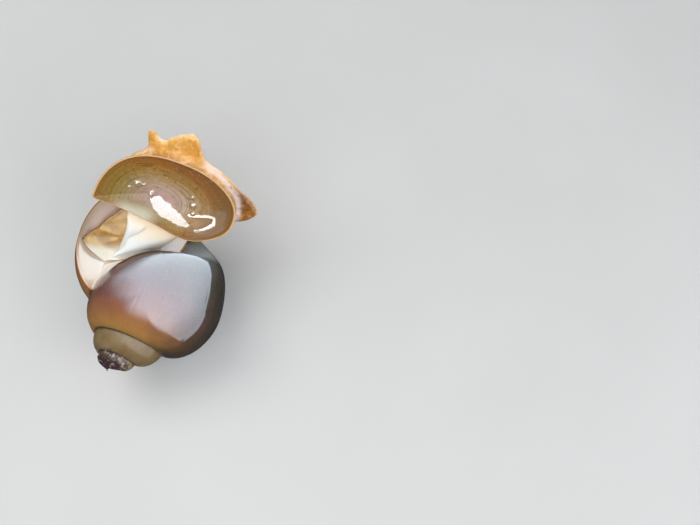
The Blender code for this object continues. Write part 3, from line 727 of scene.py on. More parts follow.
def beside(a, b, points, closed):
    """Distance from a line of points in the plate's plane, negative inside a closed one."""
    pts = np.array(points, float)
    ends = np.roll(pts, -1, 0) if closed else pts[1:]
    d = np.full(np.shape(a), 1e9)
    inside = np.zeros(np.shape(a), bool)
    for (x0, y0), (x1, y1) in zip(pts, ends):
        ex, ey = x1 - x0, y1 - y0
        f = np.clip(((a - x0) * ex + (b - y0) * ey) / (ex * ex + ey * ey), 0, 1)
        d = np.minimum(d, np.hypot(a - x0 - f * ex, b - y0 - f * ey))
        if closed:
            cross = (y0 > b) != (y1 > b)
            inside ^= cross & (a < ex * (b - y0) / (ey if abs(ey) > 1e-9 else 1e-9) + x0)
    return np.where(inside, -d, d) if closed else d


def wetness(a, b):
    ragged = 0.30 * noise(a * 1.1, b * 1.1, 0.0, 77) + 0.14 * noise(a * 3.1, b * 3.1, 0.0, 78)
    wet = smooth(0.14, -0.14, beside(a, b, OP_FILM, True) + ragged)
    wet = np.maximum(wet, smooth(0.62, 0.36, beside(a, b, OP_RUN, False) + 0.5 * ragged))
    for da, db, size, tall in OP_DROPS:
        wet = np.maximum(wet, smooth(1.25, 1.0, np.hypot(a - da, b - db) / size))
    return wet


def operculum_piece():
    n_round, rows = 540, 110
    th = np.linspace(0, TAU, n_round + 1)[:-1]
    r = op_rim(th)
    qs = np.linspace(0, 1, rows + 1)[1:]
    qs = 1 - (1 - qs) ** 1.15
    Q, T = np.meshgrid(qs, th, indexing="ij")
    A, B = Q * r * np.cos(T), Q * r * np.sin(T)
    # rings of growth run round the nucleus, close together on the hinge side
    na_, nb_ = OP_NUCLEUS
    ea, eb = r * np.cos(th), r * np.sin(th)

    def ring_of(a, b):
        # fraction of the way from the nucleus to the rim, found along rays from the nucleus
        ang = np.arctan2(b - nb_, a - na_)
        ra = np.arctan2(eb - nb_, ea - na_)
        rr = np.hypot(eb - nb_, ea - na_)
        o = np.argsort(ra)
        ra, rr = ra[o], rr[o]
        ra = np.concatenate([ra - TAU, ra, ra + TAU])
        rr = np.tile(rr, 3)
        return np.hypot(a - na_, b - nb_) / np.interp(ang, ra, rr), ang
    ring, ang = ring_of(A, B)
    wav = ring + 0.006 * noise(np.cos(ang) * 3, np.sin(ang) * 3, ring * 4, 71)
    fine = noise(wav * 46, np.cos(ang) * 0.6, np.sin(ang) * 0.6, 72)
    coarse = noise(wav * 17, np.cos(ang) * 0.4, np.sin(ang) * 0.4, 73)
    damp = np.exp(-(((A - 1.5) / 8.5) ** 2 + ((B + 5.0) / 5.5) ** 2))
    relief = smooth(0.12, 0.5, ring) * (0.018 * fine + 0.034 * coarse) * (1 - 0.85 * damp)
    for da, db, size, tall in OP_DROPS:
        relief = relief + tall * np.exp(-(np.hypot(A - da, B - db) / size) ** 4)
    wet = wetness(A, B)
    relief = relief + 0.03 * wet
    relief = relief + 0.05 * noise(A * 0.20, B * 0.20, 0.0, 74) * smooth(1.0, 0.8, Q)
    relief = relief - 0.07 * np.exp(-((ring) / 0.16) ** 2) + 0.03 * np.exp(-((ring - 0.24) / 0.06) ** 2)
    rimlift = 0.22 * smooth(0.93, 0.985, Q)
    edge = np.sqrt(np.clip(1 - ((Q - 0.985) / 0.015).clip(0, 1) ** 2, 0, 1))
    face = op_face(Q) + relief * smooth(1.0, 0.93, Q) + rimlift * edge - 0.18
    under = op_face(Q) - OP_THICK * (0.55 + 0.45 * (1 - Q ** 4))
    under = under + 0.15
    thick = face - under
    # thin at the very rim
    pinch = smooth(0.955, 1.0, Q)
    midp = 0.5 * (face + under)
    face2 = midp + thick / 2 * (1 - 0.55 * pinch)
    under2 = midp - thick / 2 * (1 - 0.55 * pinch)
    wave = 0.10 * noise(np.cos(T) * 2.2, np.sin(T) * 2.2, 0, 76) * smooth(0.7, 1.0, Q)
    P = level(op_place(A, B, face2 + wave))
    Pu = level(op_place(A, B, under2 + wave))
    c0 = level(op_place(0.0, 0.0, float(op_face(0)) - 0.18))
    c1 = level(op_place(0.0, 0.0, float(op_face(0)) - OP_THICK + 0.15))
    v = np.concatenate([P.reshape(-1, 3), Pu.reshape(-1, 3), c0.reshape(1, 3), c1.reshape(1, 3)])
    idx = np.arange(rows * n_round).reshape(rows, n_round)
    low = idx + rows * n_round
    quads = []

    def strip(a, b):
        quads.append(np.stack([a, np.roll(a, -1), np.roll(b, -1), b], 1))
    for k in range(rows - 1):
        strip(idx[k], idx[k + 1])
        strip(low[k + 1], low[k])
    strip(idx[-1], low[-1])
    t0, t1 = len(v) - 2, len(v) - 1
    tris = np.concatenate([np.stack([np.roll(idx[0], -1), idx[0], np.full(n_round, t0)], 1),
                           np.stack([low[0], np.roll(low[0], -1), np.full(n_round, t1)], 1)])
    me = mesh_of("operculum_plate", v, np.concatenate(quads), tris)
    set_coords(me, coords(me) * 0.001)
    me.shade_smooth()

    def both(x, a, b):
        return np.concatenate([x.ravel(), x.ravel(), [a, b]])
    attribute(me, "ring", both(wav, ring_of(np.zeros(1), np.zeros(1))[0][0], 0))
    attribute(me, "q", both(Q, 0, 0))
    attribute(me, "pa", both(A, 0, 0))
    attribute(me, "pb", both(B, 0, 0))
    attribute(me, "ringang", both(np.cos(ang), 0, 0))
    attribute(me, "film", np.concatenate([wet.ravel(), np.zeros(wet.size), [0, 0]]))
    return object_of("operculum_plate", me)


def operculum_paint():
    p = Paint("operculum_horn")
    ring, q, pa, pb = p.attr("ring"), p.attr("q"), p.attr("pa"), p.attr("pb")
    comb = p.new("ShaderNodeCombineXYZ")
    p.put(comb.inputs[0], p.math("MULTIPLY", ring, 60.0))
    p.put(comb.inputs[1], p.math("MULTIPLY", p.attr("ringang"), 0.8))
    lines = p.noise(1.0, 4, 0.65, comb.outputs[0])
    comb3 = p.new("ShaderNodeCombineXYZ")
    p.put(comb3.inputs[0], p.math("MULTIPLY", ring, 27.0))
    p.put(comb3.inputs[1], p.math("MULTIPLY", p.attr("ringang"), 1.6))
    dark = p.noise(1.0, 3, 0.6, comb3.outputs[0])
    comb2 = p.new("ShaderNodeCombineXYZ")
    p.put(comb2.inputs[0], p.math("MULTIPLY", ring, 14.0))
    p.put(comb2.inputs[1], p.math("MULTIPLY", p.attr("ringang"), 0.6))
    bands = p.noise(1.0, 2, 0.5, comb2.outputs[0])
    cloud = p.noise(210.0, 4, 0.6)
    speck = p.noise(1500.0, 2, 0.6)
    wide = p.math("ADD", ring, p.math("MULTIPLY_ADD", cloud, 0.22, -0.11))
    col = p.ramp(wide, (
        (0.0, (0.46, 0.29, 0.28)), (0.22, (0.43, 0.27, 0.245)), (0.42, (0.38, 0.26, 0.160)), (0.60, (0.31, 0.175, 0.048)),
        (0.78, (0.29, 0.125, 0.020)), (0.92, (0.31, 0.105, 0.018)), (1.0, (0.22, 0.080, 0.022))))
    # olive green towards the hind corner and the hinge side
    green = p.fit(p.math("ADD", p.math("MULTIPLY", pa, -1.0), p.math("MULTIPLY", pb, -1.2)), -4.0, 16.0)
    col = p.mix(p.math("MULTIPLY", green, 0.55), col, (0.19, 0.145, 0.020))
    red = p.fit(p.math("ADD", p.math("MULTIPLY", pa, 0.5), pb), 4.0, 12.0)
    col = p.mix(p.math("MULTIPLY", red, 0.55), col, (0.17, 0.075, 0.03))
    col = p.mix(p.fit(lines, 0.52, 0.70, 0.0, 0.72), col, (0.055, 0.030, 0.008))
    outer = p.fit(ring, 0.25, 0.7, 0.35, 1.0)
    col = p.mix(p.math("MULTIPLY", p.fit(dark, 0.56, 0.66, 0.0, 0.60), outer), col, (0.060, 0.034, 0.010))
    col = p.mix(p.fit(bands, 0.45, 0.20, 0.0, 0.35), col, (0.36, 0.28, 0.13))
    col = p.mix(p.fit(speck, 0.58, 0.70, 0.0, 0.40), col, (0.42, 0.33, 0.20))
    col = p.mix(p.math("MULTIPLY", p.fit(p.noise(700.0, 3, 0.7), 0.56, 0.68, 0.0, 0.55), outer), col, (0.075, 0.040, 0.012))
    far = p.fit(p.math("MULTIPLY_ADD", pb, -0.25, pa), 8.5, 15.5)
    col = p.mix(p.math("MULTIPLY", far, 0.75), col, (0.15, 0.085, 0.022))
    col = p.mix(p.fit(ring, 0.96, 0.70, 0.22, 0.0), col, (0.20, 0.085, 0.025))
    # milky zone on the hinge side
    milk = p.math("MULTIPLY", p.fit(pb, -5.6, -8.4), p.fit(p.math("ABSOLUTE", p.math("ADD", pa, 7.0)), 8.0, 2.0))
    col = p.mix(p.math("MULTIPLY", milk, 0.75), col, (0.56, 0.53, 0.42))
    rim = p.fit(q, 0.965, 0.985)
    col = p.mix(rim, col, (0.62, 0.36, 0.15))
    p.set("Base Color", col)
    p.set("Roughness", p.math("MULTIPLY_ADD", cloud, 0.15, 0.28))
    p.set("Specular IOR Level", 0.05)
    p.set("Coat Weight", p.math("MULTIPLY_ADD", p.attr("film"), 0.94, 0.06))
    p.set("Coat Roughness", 0.04)
    p.set("Coat IOR", 1.5)
    p.set("Normal", p.bump(p.math("ADD", lines, p.math("MULTIPLY", speck, 0.4)), 0.00005, 0.9))
    p.set("Coat Normal", p.bump(p.math("ADD", p.math("MULTIPLY", lines, 0.6), p.noise(500.0, 3, 0.6)), 0.000012, 1.0))
    return p.mat


# ------------------------------------------------------------------ flesh, shaped in pose millimetres
def rings_mesh(rings, cap0=None, cap1=None):
    n = len(rings[0])
    v = np.concatenate([np.asarray(r, float) for r in rings])
    c0 = np.mean(rings[0], 0) if cap0 is None else np.array(cap0, float)
    c1 = np.mean(rings[-1], 0) if cap1 is None else np.array(cap1, float)
    m = len(rings)
    idx = np.arange(m * n).reshape(m, n)
    quads = np.concatenate([np.stack([idx[k], np.roll(idx[k], -1), np.roll(idx[k + 1], -1), idx[k + 1]], 1)
                            for k in range(m - 1)])
    a, b = m * n, m * n + 1
    tris = np.concatenate([np.stack([np.roll(idx[0], -1), idx[0], np.full(n, a)], 1),
                           np.stack([idx[-1], np.roll(idx[-1], -1), np.full(n, b)], 1)])
    return np.vstack([v, c0, c1]), quads, tris


def spline(points, n):
    p = np.array(points, float)
    q = np.vstack([2 * p[0] - p[1], p, 2 * p[-1] - p[-2]])
    out = []
    for u in np.linspace(0, len(p) - 1, n):
        i = min(int(u), len(p) - 2)
        f = u - i
        a, b, c, d = q[i], q[i + 1], q[i + 2], q[i + 3]
        out.append(0.5 * (2 * b + (c - a) * f + (2 * a - 5 * b + 4 * c - d) * f * f
                          + (3 * b - a - 3 * c + d) * f ** 3))
    return np.array(out)


def tube(points, widths, flats, n_along, n_round, side, grow=0.0, fold=None, round_end=0.06):
    c = spline(points, n_along)
    st = np.linspace(0, 1, len(widths))
    u = np.linspace(0, 1, n_along)
    wa = np.interp(u, st, widths)
    wb = np.interp(u, st, flats)
    for _ in range(n_along // 8):
        wa[1:-1] = 0.25 * wa[:-2] + 0.5 * wa[1:-1] + 0.25 * wa[2:]
        wb[1:-1] = 0.25 * wb[:-2] + 0.5 * wb[1:-1] + 0.25 * wb[2:]
    d = np.gradient(c, axis=0)
    d /= np.linalg.norm(d, axis=1)[:, None]
    side = np.array(side, float)
    th = np.linspace(0, TAU, n_round + 1)[:-1]
    rings = []
    for k in range(n_along):
        a = side - d[k] * (side @ d[k])
        a /= np.linalg.norm(a)
        b = np.cross(d[k], a)
        m = min(u[k], 1 - u[k])
        end = 0.35 + 0.65 * math.sqrt(max(0.0, 1 - (1 - m / round_end) ** 2)) if m < round_end else 1.0
        f = 1.0 if fold is None else fold(u[k], th)
        rings.append(c[k] + (a[None] * ((wa[k] * end + grow) * np.cos(th) * f)[:, None]
                             + b[None] * ((wb[k] * end + grow) * np.sin(th) * f)[:, None]))
    ext0 = c[0] - d[0] * (min(wa[0], wb[0]) * 0.3 + grow)
    ext1 = c[-1] + d[-1] * (min(wa[-1], wb[-1]) * 0.3 + grow)
    return rings_mesh(rings, ext0, ext1)


def bump_at(theta, centre, width):
    d = np.degrees(np.arctan2(np.sin(theta - math.radians(centre)), np.cos(theta - math.radians(centre))))
    return np.exp(-0.5 * (d / width) ** 2)


def foot_margin(theta):
    d = np.degrees(np.mod(theta, TAU))
    rise = 1 / (1 + np.exp((np.abs(np.mod(d - 78 + 180, 360) - 180) - 82) / 5.0))
    m = -3.4 + 5.6 * rise
    for c, w, h in FOOT_LOBES:
        m = m + h * bump_at(theta, c, w)
    return m


def foot_rear():
    """Foot behind the operculum, with its crumpled flared edge."""
    n_round = 720
    th = np.linspace(0, TAU, n_round + 1)[:-1]
    base = op_radius(th)
    rim_r = op_radius(th) + foot_margin(th) - 0.10
    rim_r = rim_r + 0.16 * noise(np.cos(th) * 9, np.sin(th) * 9, 0, 81) - 0.1
    for _ in range(6):
        rim_r = 0.25 * np.roll(rim_r, 1) + 0.5 * rim_r + 0.25 * np.roll(rim_r, -1)
    wave = 0.7 * np.sin(5 * th + 0.6) + 0.5 * np.sin(9 * th)
    rim = -4.6 - 0.9 * wave * 0.5
    curl = 0.55 * noise(np.cos(th) * 3.2, np.sin(th) * 3.2, 0, 83) + 0.25 * noise(np.cos(th) * 7, np.sin(th) * 7, 0, 84)
    rings = []

    def folds(q, amount):
        r = q * rim_r
        past = smooth(-3.0, 3.0, r - base)
        a = noise(th * 11, r * 0.10, 0, 85) + 0.6 * noise(th * 26, r * 0.25, 0, 86)
        return amount * past * a

    for q in np.linspace(0.06, 1.0, 46):                 # sole, centre to edge
        w = rim - 0.8 - (4.3 + 0.8 * np.cos(th - 1.0)) * (1 - q ** 2.4)
        w = w + 0.35 + folds(q, 0.10) + curl * q ** 8 * 0.6 + 0.45 * smooth(0.9, 1.0, q)
        rings.append(op_place(q * rim_r * np.cos(th), q * rim_r * np.sin(th), w))
    for q in np.linspace(1.0, 0.06, 60):                 # upper side, edge to centre, under the operculum
        under = op_face(np.minimum(q * rim_r / base, 1.0)) - OP_THICK - 0.08
        out = 1 / (1 + np.exp(-(q * rim_r - base + 1.0) / 0.8))
        w = under * (1 - out) + (rim + 0.9) * out
        w = w + out * (folds(q, 0.20) + curl * q ** 6 * 0.6) - 0.45 * smooth(0.93, 1.0, q)
        rings.append(op_place(q * rim_r * np.cos(th), q * rim_r * np.sin(th), w))
    return rings_mesh(rings)


def neck():
    """Stalk: fills the coil inside the mouth, leaves the outer lip side open, rises to the operculum."""
    n_round, sub = 144, 4
    th = np.linspace(0, TAU, n_round + 1)[:-1]
    step = math.radians(20)
    rings = []
    for k in np.arange(6.0, -0.001, -1.0 / sub):
        edge = NECK_EDGE + 9.0 * min(1.0, max(0.0, (k - 1.0) / 2.2))
        r = reach(NECK_CENTRE, th, WALL + 0.22, edge)
        for _ in range(14):
            x = NECK_CENTRE[0] + r * np.cos(th) - MOUTH_CENTRE[0]
            y = NECK_CENTRE[1] + r * np.sin(th) - MOUTH_CENTRE[1]
            over = np.hypot(x, y) - mouth_reach(np.arctan2(y, x), WALL) + 0.15
            r = r - 0.7 * np.clip(over, 0, None)
        rings.append(pose(wind(-step * k if k else 0.012, NECK_CENTRE[0] + r * np.cos(th),
                               NECK_CENTRE[1] + r * np.sin(th))))
    a = rings[-1]
    start = a - rings[-1 - sub]
    start /= np.linalg.norm(start, axis=1)[:, None]
    u, v, n = op_frame()
    centre = op_place(2.3, -4.2, -OP_THICK - 3.2)
    ca = a.mean(0)
    phi = np.arctan2((a - ca) @ v, (a - ca) @ u)
    b = centre + (13.2 * np.cos(phi))[:, None] * u + (5.6 * np.sin(phi))[:, None] * v
    for k in range(1, 25):
        f = k / 24
        h1 = 2 * f ** 3 - 3 * f ** 2 + 1
        h2 = f ** 3 - 2 * f ** 2 + f
        h3 = -2 * f ** 3 + 3 * f ** 2
        h4 = f ** 3 - f ** 2
        rings.append(a * h1 + start * 9.0 * h2 + b * h3 + n * 6.0 * h4)
    return rings_mesh(rings)


SKIRT_PATH = ((-13.4, 4.9, 11.0), (-10.2, 7.3, 8.5), (-5.6, 8.9, 4.7), (-1.0, 10.3, 0.7), (2.6, 11.8, -2.0), (5.0, 13.0, -3.8))


def skirt():
    """Spreads the foot of the stalk over the callus and the inner lip."""
    low = tube(SKIRT_PATH, (1.3, 2.3, 2.5, 2.5, 1.5), (0.9, 1.3, 1.5, 1.5, 1.0), 60, 40, (0, 1, 0), 0.0)
    up = [(x + 0.3, y + 3.2, z - 1.3) for x, y, z in SKIRT_PATH[1:]]
    high = tube(up, (1.6, 2.6, 2.6, 1.6), (0.9, 1.5, 1.6, 1.0), 60, 40, (0, 1, 0), 0.0)
    return low, high


def collar():
    """Mantle: lines the mouth some way in and joins the stalk to the outer wall."""
    n_round = 144
    th = np.linspace(0, TAU, n_round + 1)[:-1]
    r = mouth_reach(th, WALL + 0.12)
    pr, pz = outline(suture()[0])
    pad = smooth(0.1, 0.85, np.cos(th - math.atan2(pz - MOUTH_CENTRE[1], pr - MOUTH_CENTRE[0])))
    r = r + pad * np.clip(reach(MOUTH_CENTRE, th, WALL + 0.6) - r, 0, 3.5)
    rings = []
    for q in np.linspace(0.08, 1.0, 22):
        fold = 1.6 * noise(np.cos(th) * 2.4 * q, np.sin(th) * 2.4 * q, 0, 91) + 3.0 * np.exp(-((q - 0.84) / 0.10) ** 2)
        t = -np.radians((21.0 + 12.0 * smooth(0.86, 1.0, q)) * (1 - pad * q) + 7.0 * pad * q + 2.5 * smooth(0.6, 0.2, q) - fold * 0.7 * (1 - pad))
        rings.append(pose(wind(t, MOUTH_CENTRE[0] + q * r * np.cos(th), MOUTH_CENTRE[1] + q * r * np.sin(th))))
    for deg in np.linspace(38, 100, 14):
        rings.append(pose(wind(-math.radians(deg), MOUTH_CENTRE[0] + r * np.cos(th), MOUTH_CENTRE[1] + r * np.sin(th))))
    return rings_mesh(rings)


def flesh_piece():
    parts = {"foot": [], "neck": [], "mantle": [], "head": []}
    parts["foot"].append(foot_rear())
    parts["foot"].append(tube(FRONT_PATH, (4.6, 5.3, 5.2, 3.8), (2.4, 2.4, 2.1, 1.3), 40, 64, (1, -0.45, 0.2), -0.05))
    parts["neck"].append(neck())
    parts["neck"] += skirt()
    parts["mantle"].append(collar())
    parts["head"].append(tube(HEAD_PATH, (4.0, 4.6, 4.6, 3.4), (3.4, 3.7, 3.6, 2.6), 40, 64, (1, 0.2, 0.25), -0.05))

    def rows(u, th):
        return 1 + 0.035 * math.sin(u * 95) + 0.02 * math.sin(u * 41 + 1)
    for pts in (PALP_L, PALP_R):
        parts["head"].append(tube(pts, (1.5, 1.1, 0.45), (1.2, 0.9, 0.45), 60, 24, (1, 0, 0), 0.0, rows))
    for pts in (TENTACLE_L, TENTACLE_R):
        parts["head"].append(tube(pts, (1.0, 0.75, 0.55, 0.35), (0.9, 0.7, 0.5, 0.35), 120, 24, (0, 0, 1), 0.0, rows))
    for pts in (EYE_STALK_L, EYE_STALK_R):
        parts["head"].append(tube(pts, (0.95, 0.85, 0.8), (0.95, 0.85, 0.8), 24, 24, (0, 0, 1)))
    v, quads, tris, tag = [], [], [], []
    n = 0
    for key, meshes in parts.items():
        for vv, qq, tt in meshes:
            v.append(level(vv))
            quads.append(qq + n)
            tris.append(tt + n)
            tag += [key] * len(vv)
            n += len(vv)
    v, tag = np.concatenate(v), np.array(tag)
    # closed bodies, joined through a fine grid of cells
    me = mesh_of("flesh_raw", v, np.concatenate(quads), np.concatenate(tris))
    o = object_of("flesh_raw", me)
    m = o.modifiers.new("join", "REMESH")
    m.mode = "VOXEL"
    m.voxel_size = 0.24
    m.adaptivity = 0.0
    dg = bpy.context.evaluated_depsgraph_get()
    out = bpy.data.meshes.new_from_object(o.evaluated_get(dg))
    bpy.data.objects.remove(o)
    bpy.data.meshes.remove(me)
    out.name = "flesh_skin"
    w = coords(out)
    e = edges_of(out)
    # the largest closed surface only
    lab = components(len(w), e)
    big = np.argmax(np.bincount(lab))
    if (lab != big).any():
        bm = bmesh.new()
        bm.from_mesh(out)
        bm.verts.ensure_lookup_table()
        bmesh.ops.delete(bm, geom=[bm.verts[i] for i in np.nonzero(lab != big)[0]], context="VERTS")
        bm.to_mesh(out)
        bm.free()
        w = coords(out)
        e = edges_of(out)
    w = relax(w, e, 3, 0.5)
    path = spline(SKIRT_PATH, 40)
    gap = np.full(len(w), 1e9)
    pw = unlevel(w)
    for c in path:
        gap = np.minimum(gap, np.linalg.norm(pw - c, axis=1))
    w = relax(w, e, 560, 0.5, smooth(9.5, 6.0, gap))
    d = {}
    for key in parts:
        d[key] = distances(w, parts[key])
    return out, w, e, d


def components(n, e):
    lab = np.arange(n)
    while True:
        m = np.minimum(lab[e[:, 0]], lab[e[:, 1]])
        new = lab.copy()
        np.minimum.at(new, e[:, 0], m)
        np.minimum.at(new, e[:, 1], m)
        new = new[new]
        if (new == lab).all():
            return lab
        lab = new


def flesh_finish(out, w, e, d):
    out.update()
    set_coords(out, w)
    nrm = normals(out)
    p = unlevel(w)
    u_, v_, n_ = op_frame()
    q = p - np.array(OP_CENTRE)
    a, b, h = q @ u_, q @ v_, q @ n_
    th = np.arctan2(b, a)
    past = np.hypot(a, b) - op_rim(th)                   # beyond the operculum's rim
    margin = foot_margin(th) - past                      # distance in from the foot's edge
    is_neck = smooth(-0.9, 0.9, np.minimum(d["foot"], d["head"]) - d["neck"])
    is_mantle = smooth(-0.3, 0.9, np.minimum(d["neck"], np.minimum(d["foot"], d["head"])) - d["mantle"])
    is_head = smooth(-0.5, 0.5, np.minimum(d["foot"], d["neck"]) - d["head"])
    is_foot = np.clip(1 - is_neck - is_mantle - is_head, 0, 1)
    # wrinkles of the foot, finer than the folds of its edge
    sheet = is_foot * smooth(2.2, 0.4, d["foot"])
    wr = noise(a * 0.8, b * 0.8, h * 0.8, 101) * 0.06 + noise(a * 1.7, b * 1.7, h * 1.7, 102) * 0.035
    ridges = 0.045 * (1 - np.abs(noise(a * 1.1, b * 0.55, h, 103)) * 2.2)
    w = w + nrm * (sheet * (wr + ridges) + is_head * (0.05 * noise(w[:, 0] * 1.3, w[:, 1] * 1.3, w[:, 2] * 1.3, 104))
                   + is_neck * 0.035 * noise(w[:, 0] * 0.35, w[:, 1] * 0.35, w[:, 2] * 0.35, 105)
                   + is_mantle * 0.04 * noise(w[:, 0] * 0.6, w[:, 1] * 0.6, w[:, 2] * 0.6, 106))[:, None]
    # the peak of the foot stays under the model's height
    top = MODEL_TOP - 1.2
    w[:, 2] = np.where(w[:, 2] > top, top + 1.2 * np.tanh((w[:, 2] - top) / 1.2), w[:, 2])
    set_coords(out, w * 0.001)
    out.shade_smooth()
    s = unpose(unlevel(w))
    phi = np.arctan2(s[:, 1], s[:, 0])
    attribute(out, "neck", is_neck)
    attribute(out, "mantle", is_mantle)
    attribute(out, "head", is_head)
    attribute(out, "margin", np.clip(margin, -2, 20))
    attribute(out, "past", past)
    attribute(out, "oph", h)
    attribute(out, "opa", a)
    attribute(out, "opb", b)
    attribute(out, "across", p[:, 0])
    attribute(out, "rise", p[:, 1])
    return object_of("flesh_skin", out)


def flesh_paint():
    p = Paint("flesh_wet")
    is_neck, is_mantle, is_head = p.attr("neck"), p.attr("mantle"), p.attr("head")
    margin, past = p.attr("margin"), p.attr("past")
    cloud = p.noise(260.0, 4, 0.6)
    mottle = p.noise(900.0, 3, 0.65)
    speck = p.noise(2400.0, 2, 0.6)
    rise, across = p.attr("rise"), p.attr("across")
    grade = p.math("MULTIPLY_ADD", mottle, 0.45, p.math("MULTIPLY", cloud, 0.55))
    foot = p.ramp(grade, (
        (0.28, (0.38, 0.150, 0.020)), (0.42, (0.56, 0.260, 0.045)), (0.55, (0.70, 0.37, 0.090)), (0.70, (0.82, 0.54, 0.22))))
    # darker and more speckled toward one end
    brown = p.ramp(grade, (
        (0.30, (0.045, 0.018, 0.008)), (0.42, (0.14, 0.052, 0.010)), (0.54, (0.27, 0.105, 0.014)), (0.70, (0.40, 0.18, 0.03))))
    opa, opb = p.attr("opa"), p.attr("opb")
    end = p.fit(p.math("MULTIPLY_ADD", cloud, 5.0, p.attr("across")), 19.0, 25.0)
    foot = p.mix(end, foot, brown)
    # painted highlight: pale bands of wet sheen painted on the folds along the rim of the plate
    wet_sheen_band = p.math("MULTIPLY", p.fit(p.math("MULTIPLY_ADD", cloud, 2.4, past), 3.2, 1.8), p.fit(past, -0.6, 0.2))
    near = p.math("MAXIMUM", p.fit(p.math("ABSOLUTE", p.math("ADD", across, 5.5)), 6.0, 3.0), p.fit(p.math("ABSOLUTE", p.math("ADD", across, -17.5)), 6.5, 3.5))
    foot = p.mix(p.math("MULTIPLY", p.math("MULTIPLY", wet_sheen_band, near), 0.55), foot, (0.66, 0.50, 0.45))
    # painted highlight: a pale lit rim along the foot's very edge
    foot = p.mix(p.fit(margin, 0.9, 0.1, 0.0, 0.75), foot, (0.80, 0.56, 0.30))
    foot = p.mix(p.fit(speck, 0.60, 0.72, 0.0, 0.45), foot, (0.22, 0.085, 0.02))
    cream = p.mix(p.fit(cloud, 0.35, 0.7, 0.0, 0.35), (0.68, 0.675, 0.635), (0.64, 0.63, 0.575))
    # painted shade: the stalk made yellow close under the rim of the operculum, where the operculum shades it
    cream = p.mix(p.fit(past, 5.5, 1.5, 0.0, 0.6), cream, (0.78, 0.52, 0.20))
    mant = p.mix(p.fit(cloud, 0.35, 0.65), (0.38, 0.20, 0.040), (0.60, 0.37, 0.10))
    # painted shade: the mantle darker high up, under the operculum
    mant = p.mix(p.fit(rise, 15.0, 22.0, 0.0, 0.6), mant, (0.22, 0.115, 0.028))
    mant = p.mix(p.fit(p.math("MULTIPLY_ADD", cloud, 2.5, rise), 12.0, 9.0, 0.0, 0.9), mant, (0.82, 0.76, 0.62))
    headc = p.mix(p.fit(mottle, 0.40, 0.62), (0.42, 0.22, 0.07), (0.13, 0.075, 0.04))
    col = p.mix(is_neck, foot, cream)
    col = p.mix(is_head, col, headc)
    col = p.mix(is_mantle, col, mant)
    p.set("Base Color", col)
    p.set("Roughness", p.math("MULTIPLY_ADD", cloud, 0.2, 0.30))
    p.set("Subsurface Weight", p.math("MULTIPLY_ADD", is_neck, -0.31, 0.35))
    p.set("Subsurface Radius", (0.0016, 0.0008, 0.0004))
    p.set("Subsurface Scale", 1.0)
    p.set("Specular IOR Level", 0.15)
    wetter = p.math("MAXIMUM", p.math("MULTIPLY", is_neck, 0.35), p.math("MULTIPLY", p.math("MULTIPLY", wet_sheen_band, near), 0.8))
    p.set("Coat Weight", p.math("MAXIMUM", wetter, p.math("MULTIPLY_ADD", p.fit(cloud, 0.50, 0.62), 0.30, 0.16)))
    p.set("Coat Roughness", 0.07)
    p.set("Coat IOR", 1.48)
    h1 = p.math("ADD", p.math("MULTIPLY", mottle, 0.8), p.math("MULTIPLY", speck, 0.4))
    rough_place = p.math("SUBTRACT", 1.0, p.math("MULTIPLY", is_neck, 0.85))
    p.set("Normal", p.bump(p.math("MULTIPLY", h1, rough_place), 0.00012, 0.8))
    p.set("Coat Normal", p.bump(p.math("MULTIPLY", p.math("ADD", h1, cloud), rough_place), 0.00007, 0.8))
    return p.mat


# ------------------------------------------------------------------ eyes
def eye_piece(name, stalk):
    e = np.array(stalk[-1])
    d = e - np.array(stalk[-2])
    d /= np.linalg.norm(d)
    c = level(e + d * (EYE_RADIUS + 0.6))
    d = level(d) - level(np.zeros(3))
    bm = bmesh.new()
    bmesh.ops.create_icosphere(bm, subdivisions=5, radius=EYE_RADIUS * 0.985)
    me = bpy.data.meshes.new(name)
    bm.to_mesh(me)
    bm.free()
    v = coords(me)
    front = v @ d / EYE_RADIUS
    v = v * (1 + 0.03 * smooth(0.75, 1.0, front) * 0.5)[:, None]
    set_coords(me, (v + c) * 0.001)
    me.shade_smooth()
    attribute(me, "front", front)
    return object_of(name, me)


def eye_paint():
    p = Paint("eye_wet")
    front = p.attr("front")
    grain = p.noise(5000.0, 3, 0.6)
    f = p.math("ADD", front, p.math("MULTIPLY_ADD", grain, 0.06, -0.03))
    col = p.ramp(f, ((0.0, (0.05, 0.03, 0.018)), (0.45, (0.10, 0.06, 0.02)), (0.60, (0.34, 0.20, 0.05)), (0.72, (0.20, 0.11, 0.03)),
                     (0.76, (0.004, 0.004, 0.005)), (1.0, (0.003, 0.003, 0.004))))
    p.set("Base Color", col)
    p.set("Roughness", p.math("MULTIPLY_ADD", grain, 0.1, 0.15))
    p.set("Coat Weight", 1.0)
    p.set("Coat Roughness", 0.02)
    return p.mat


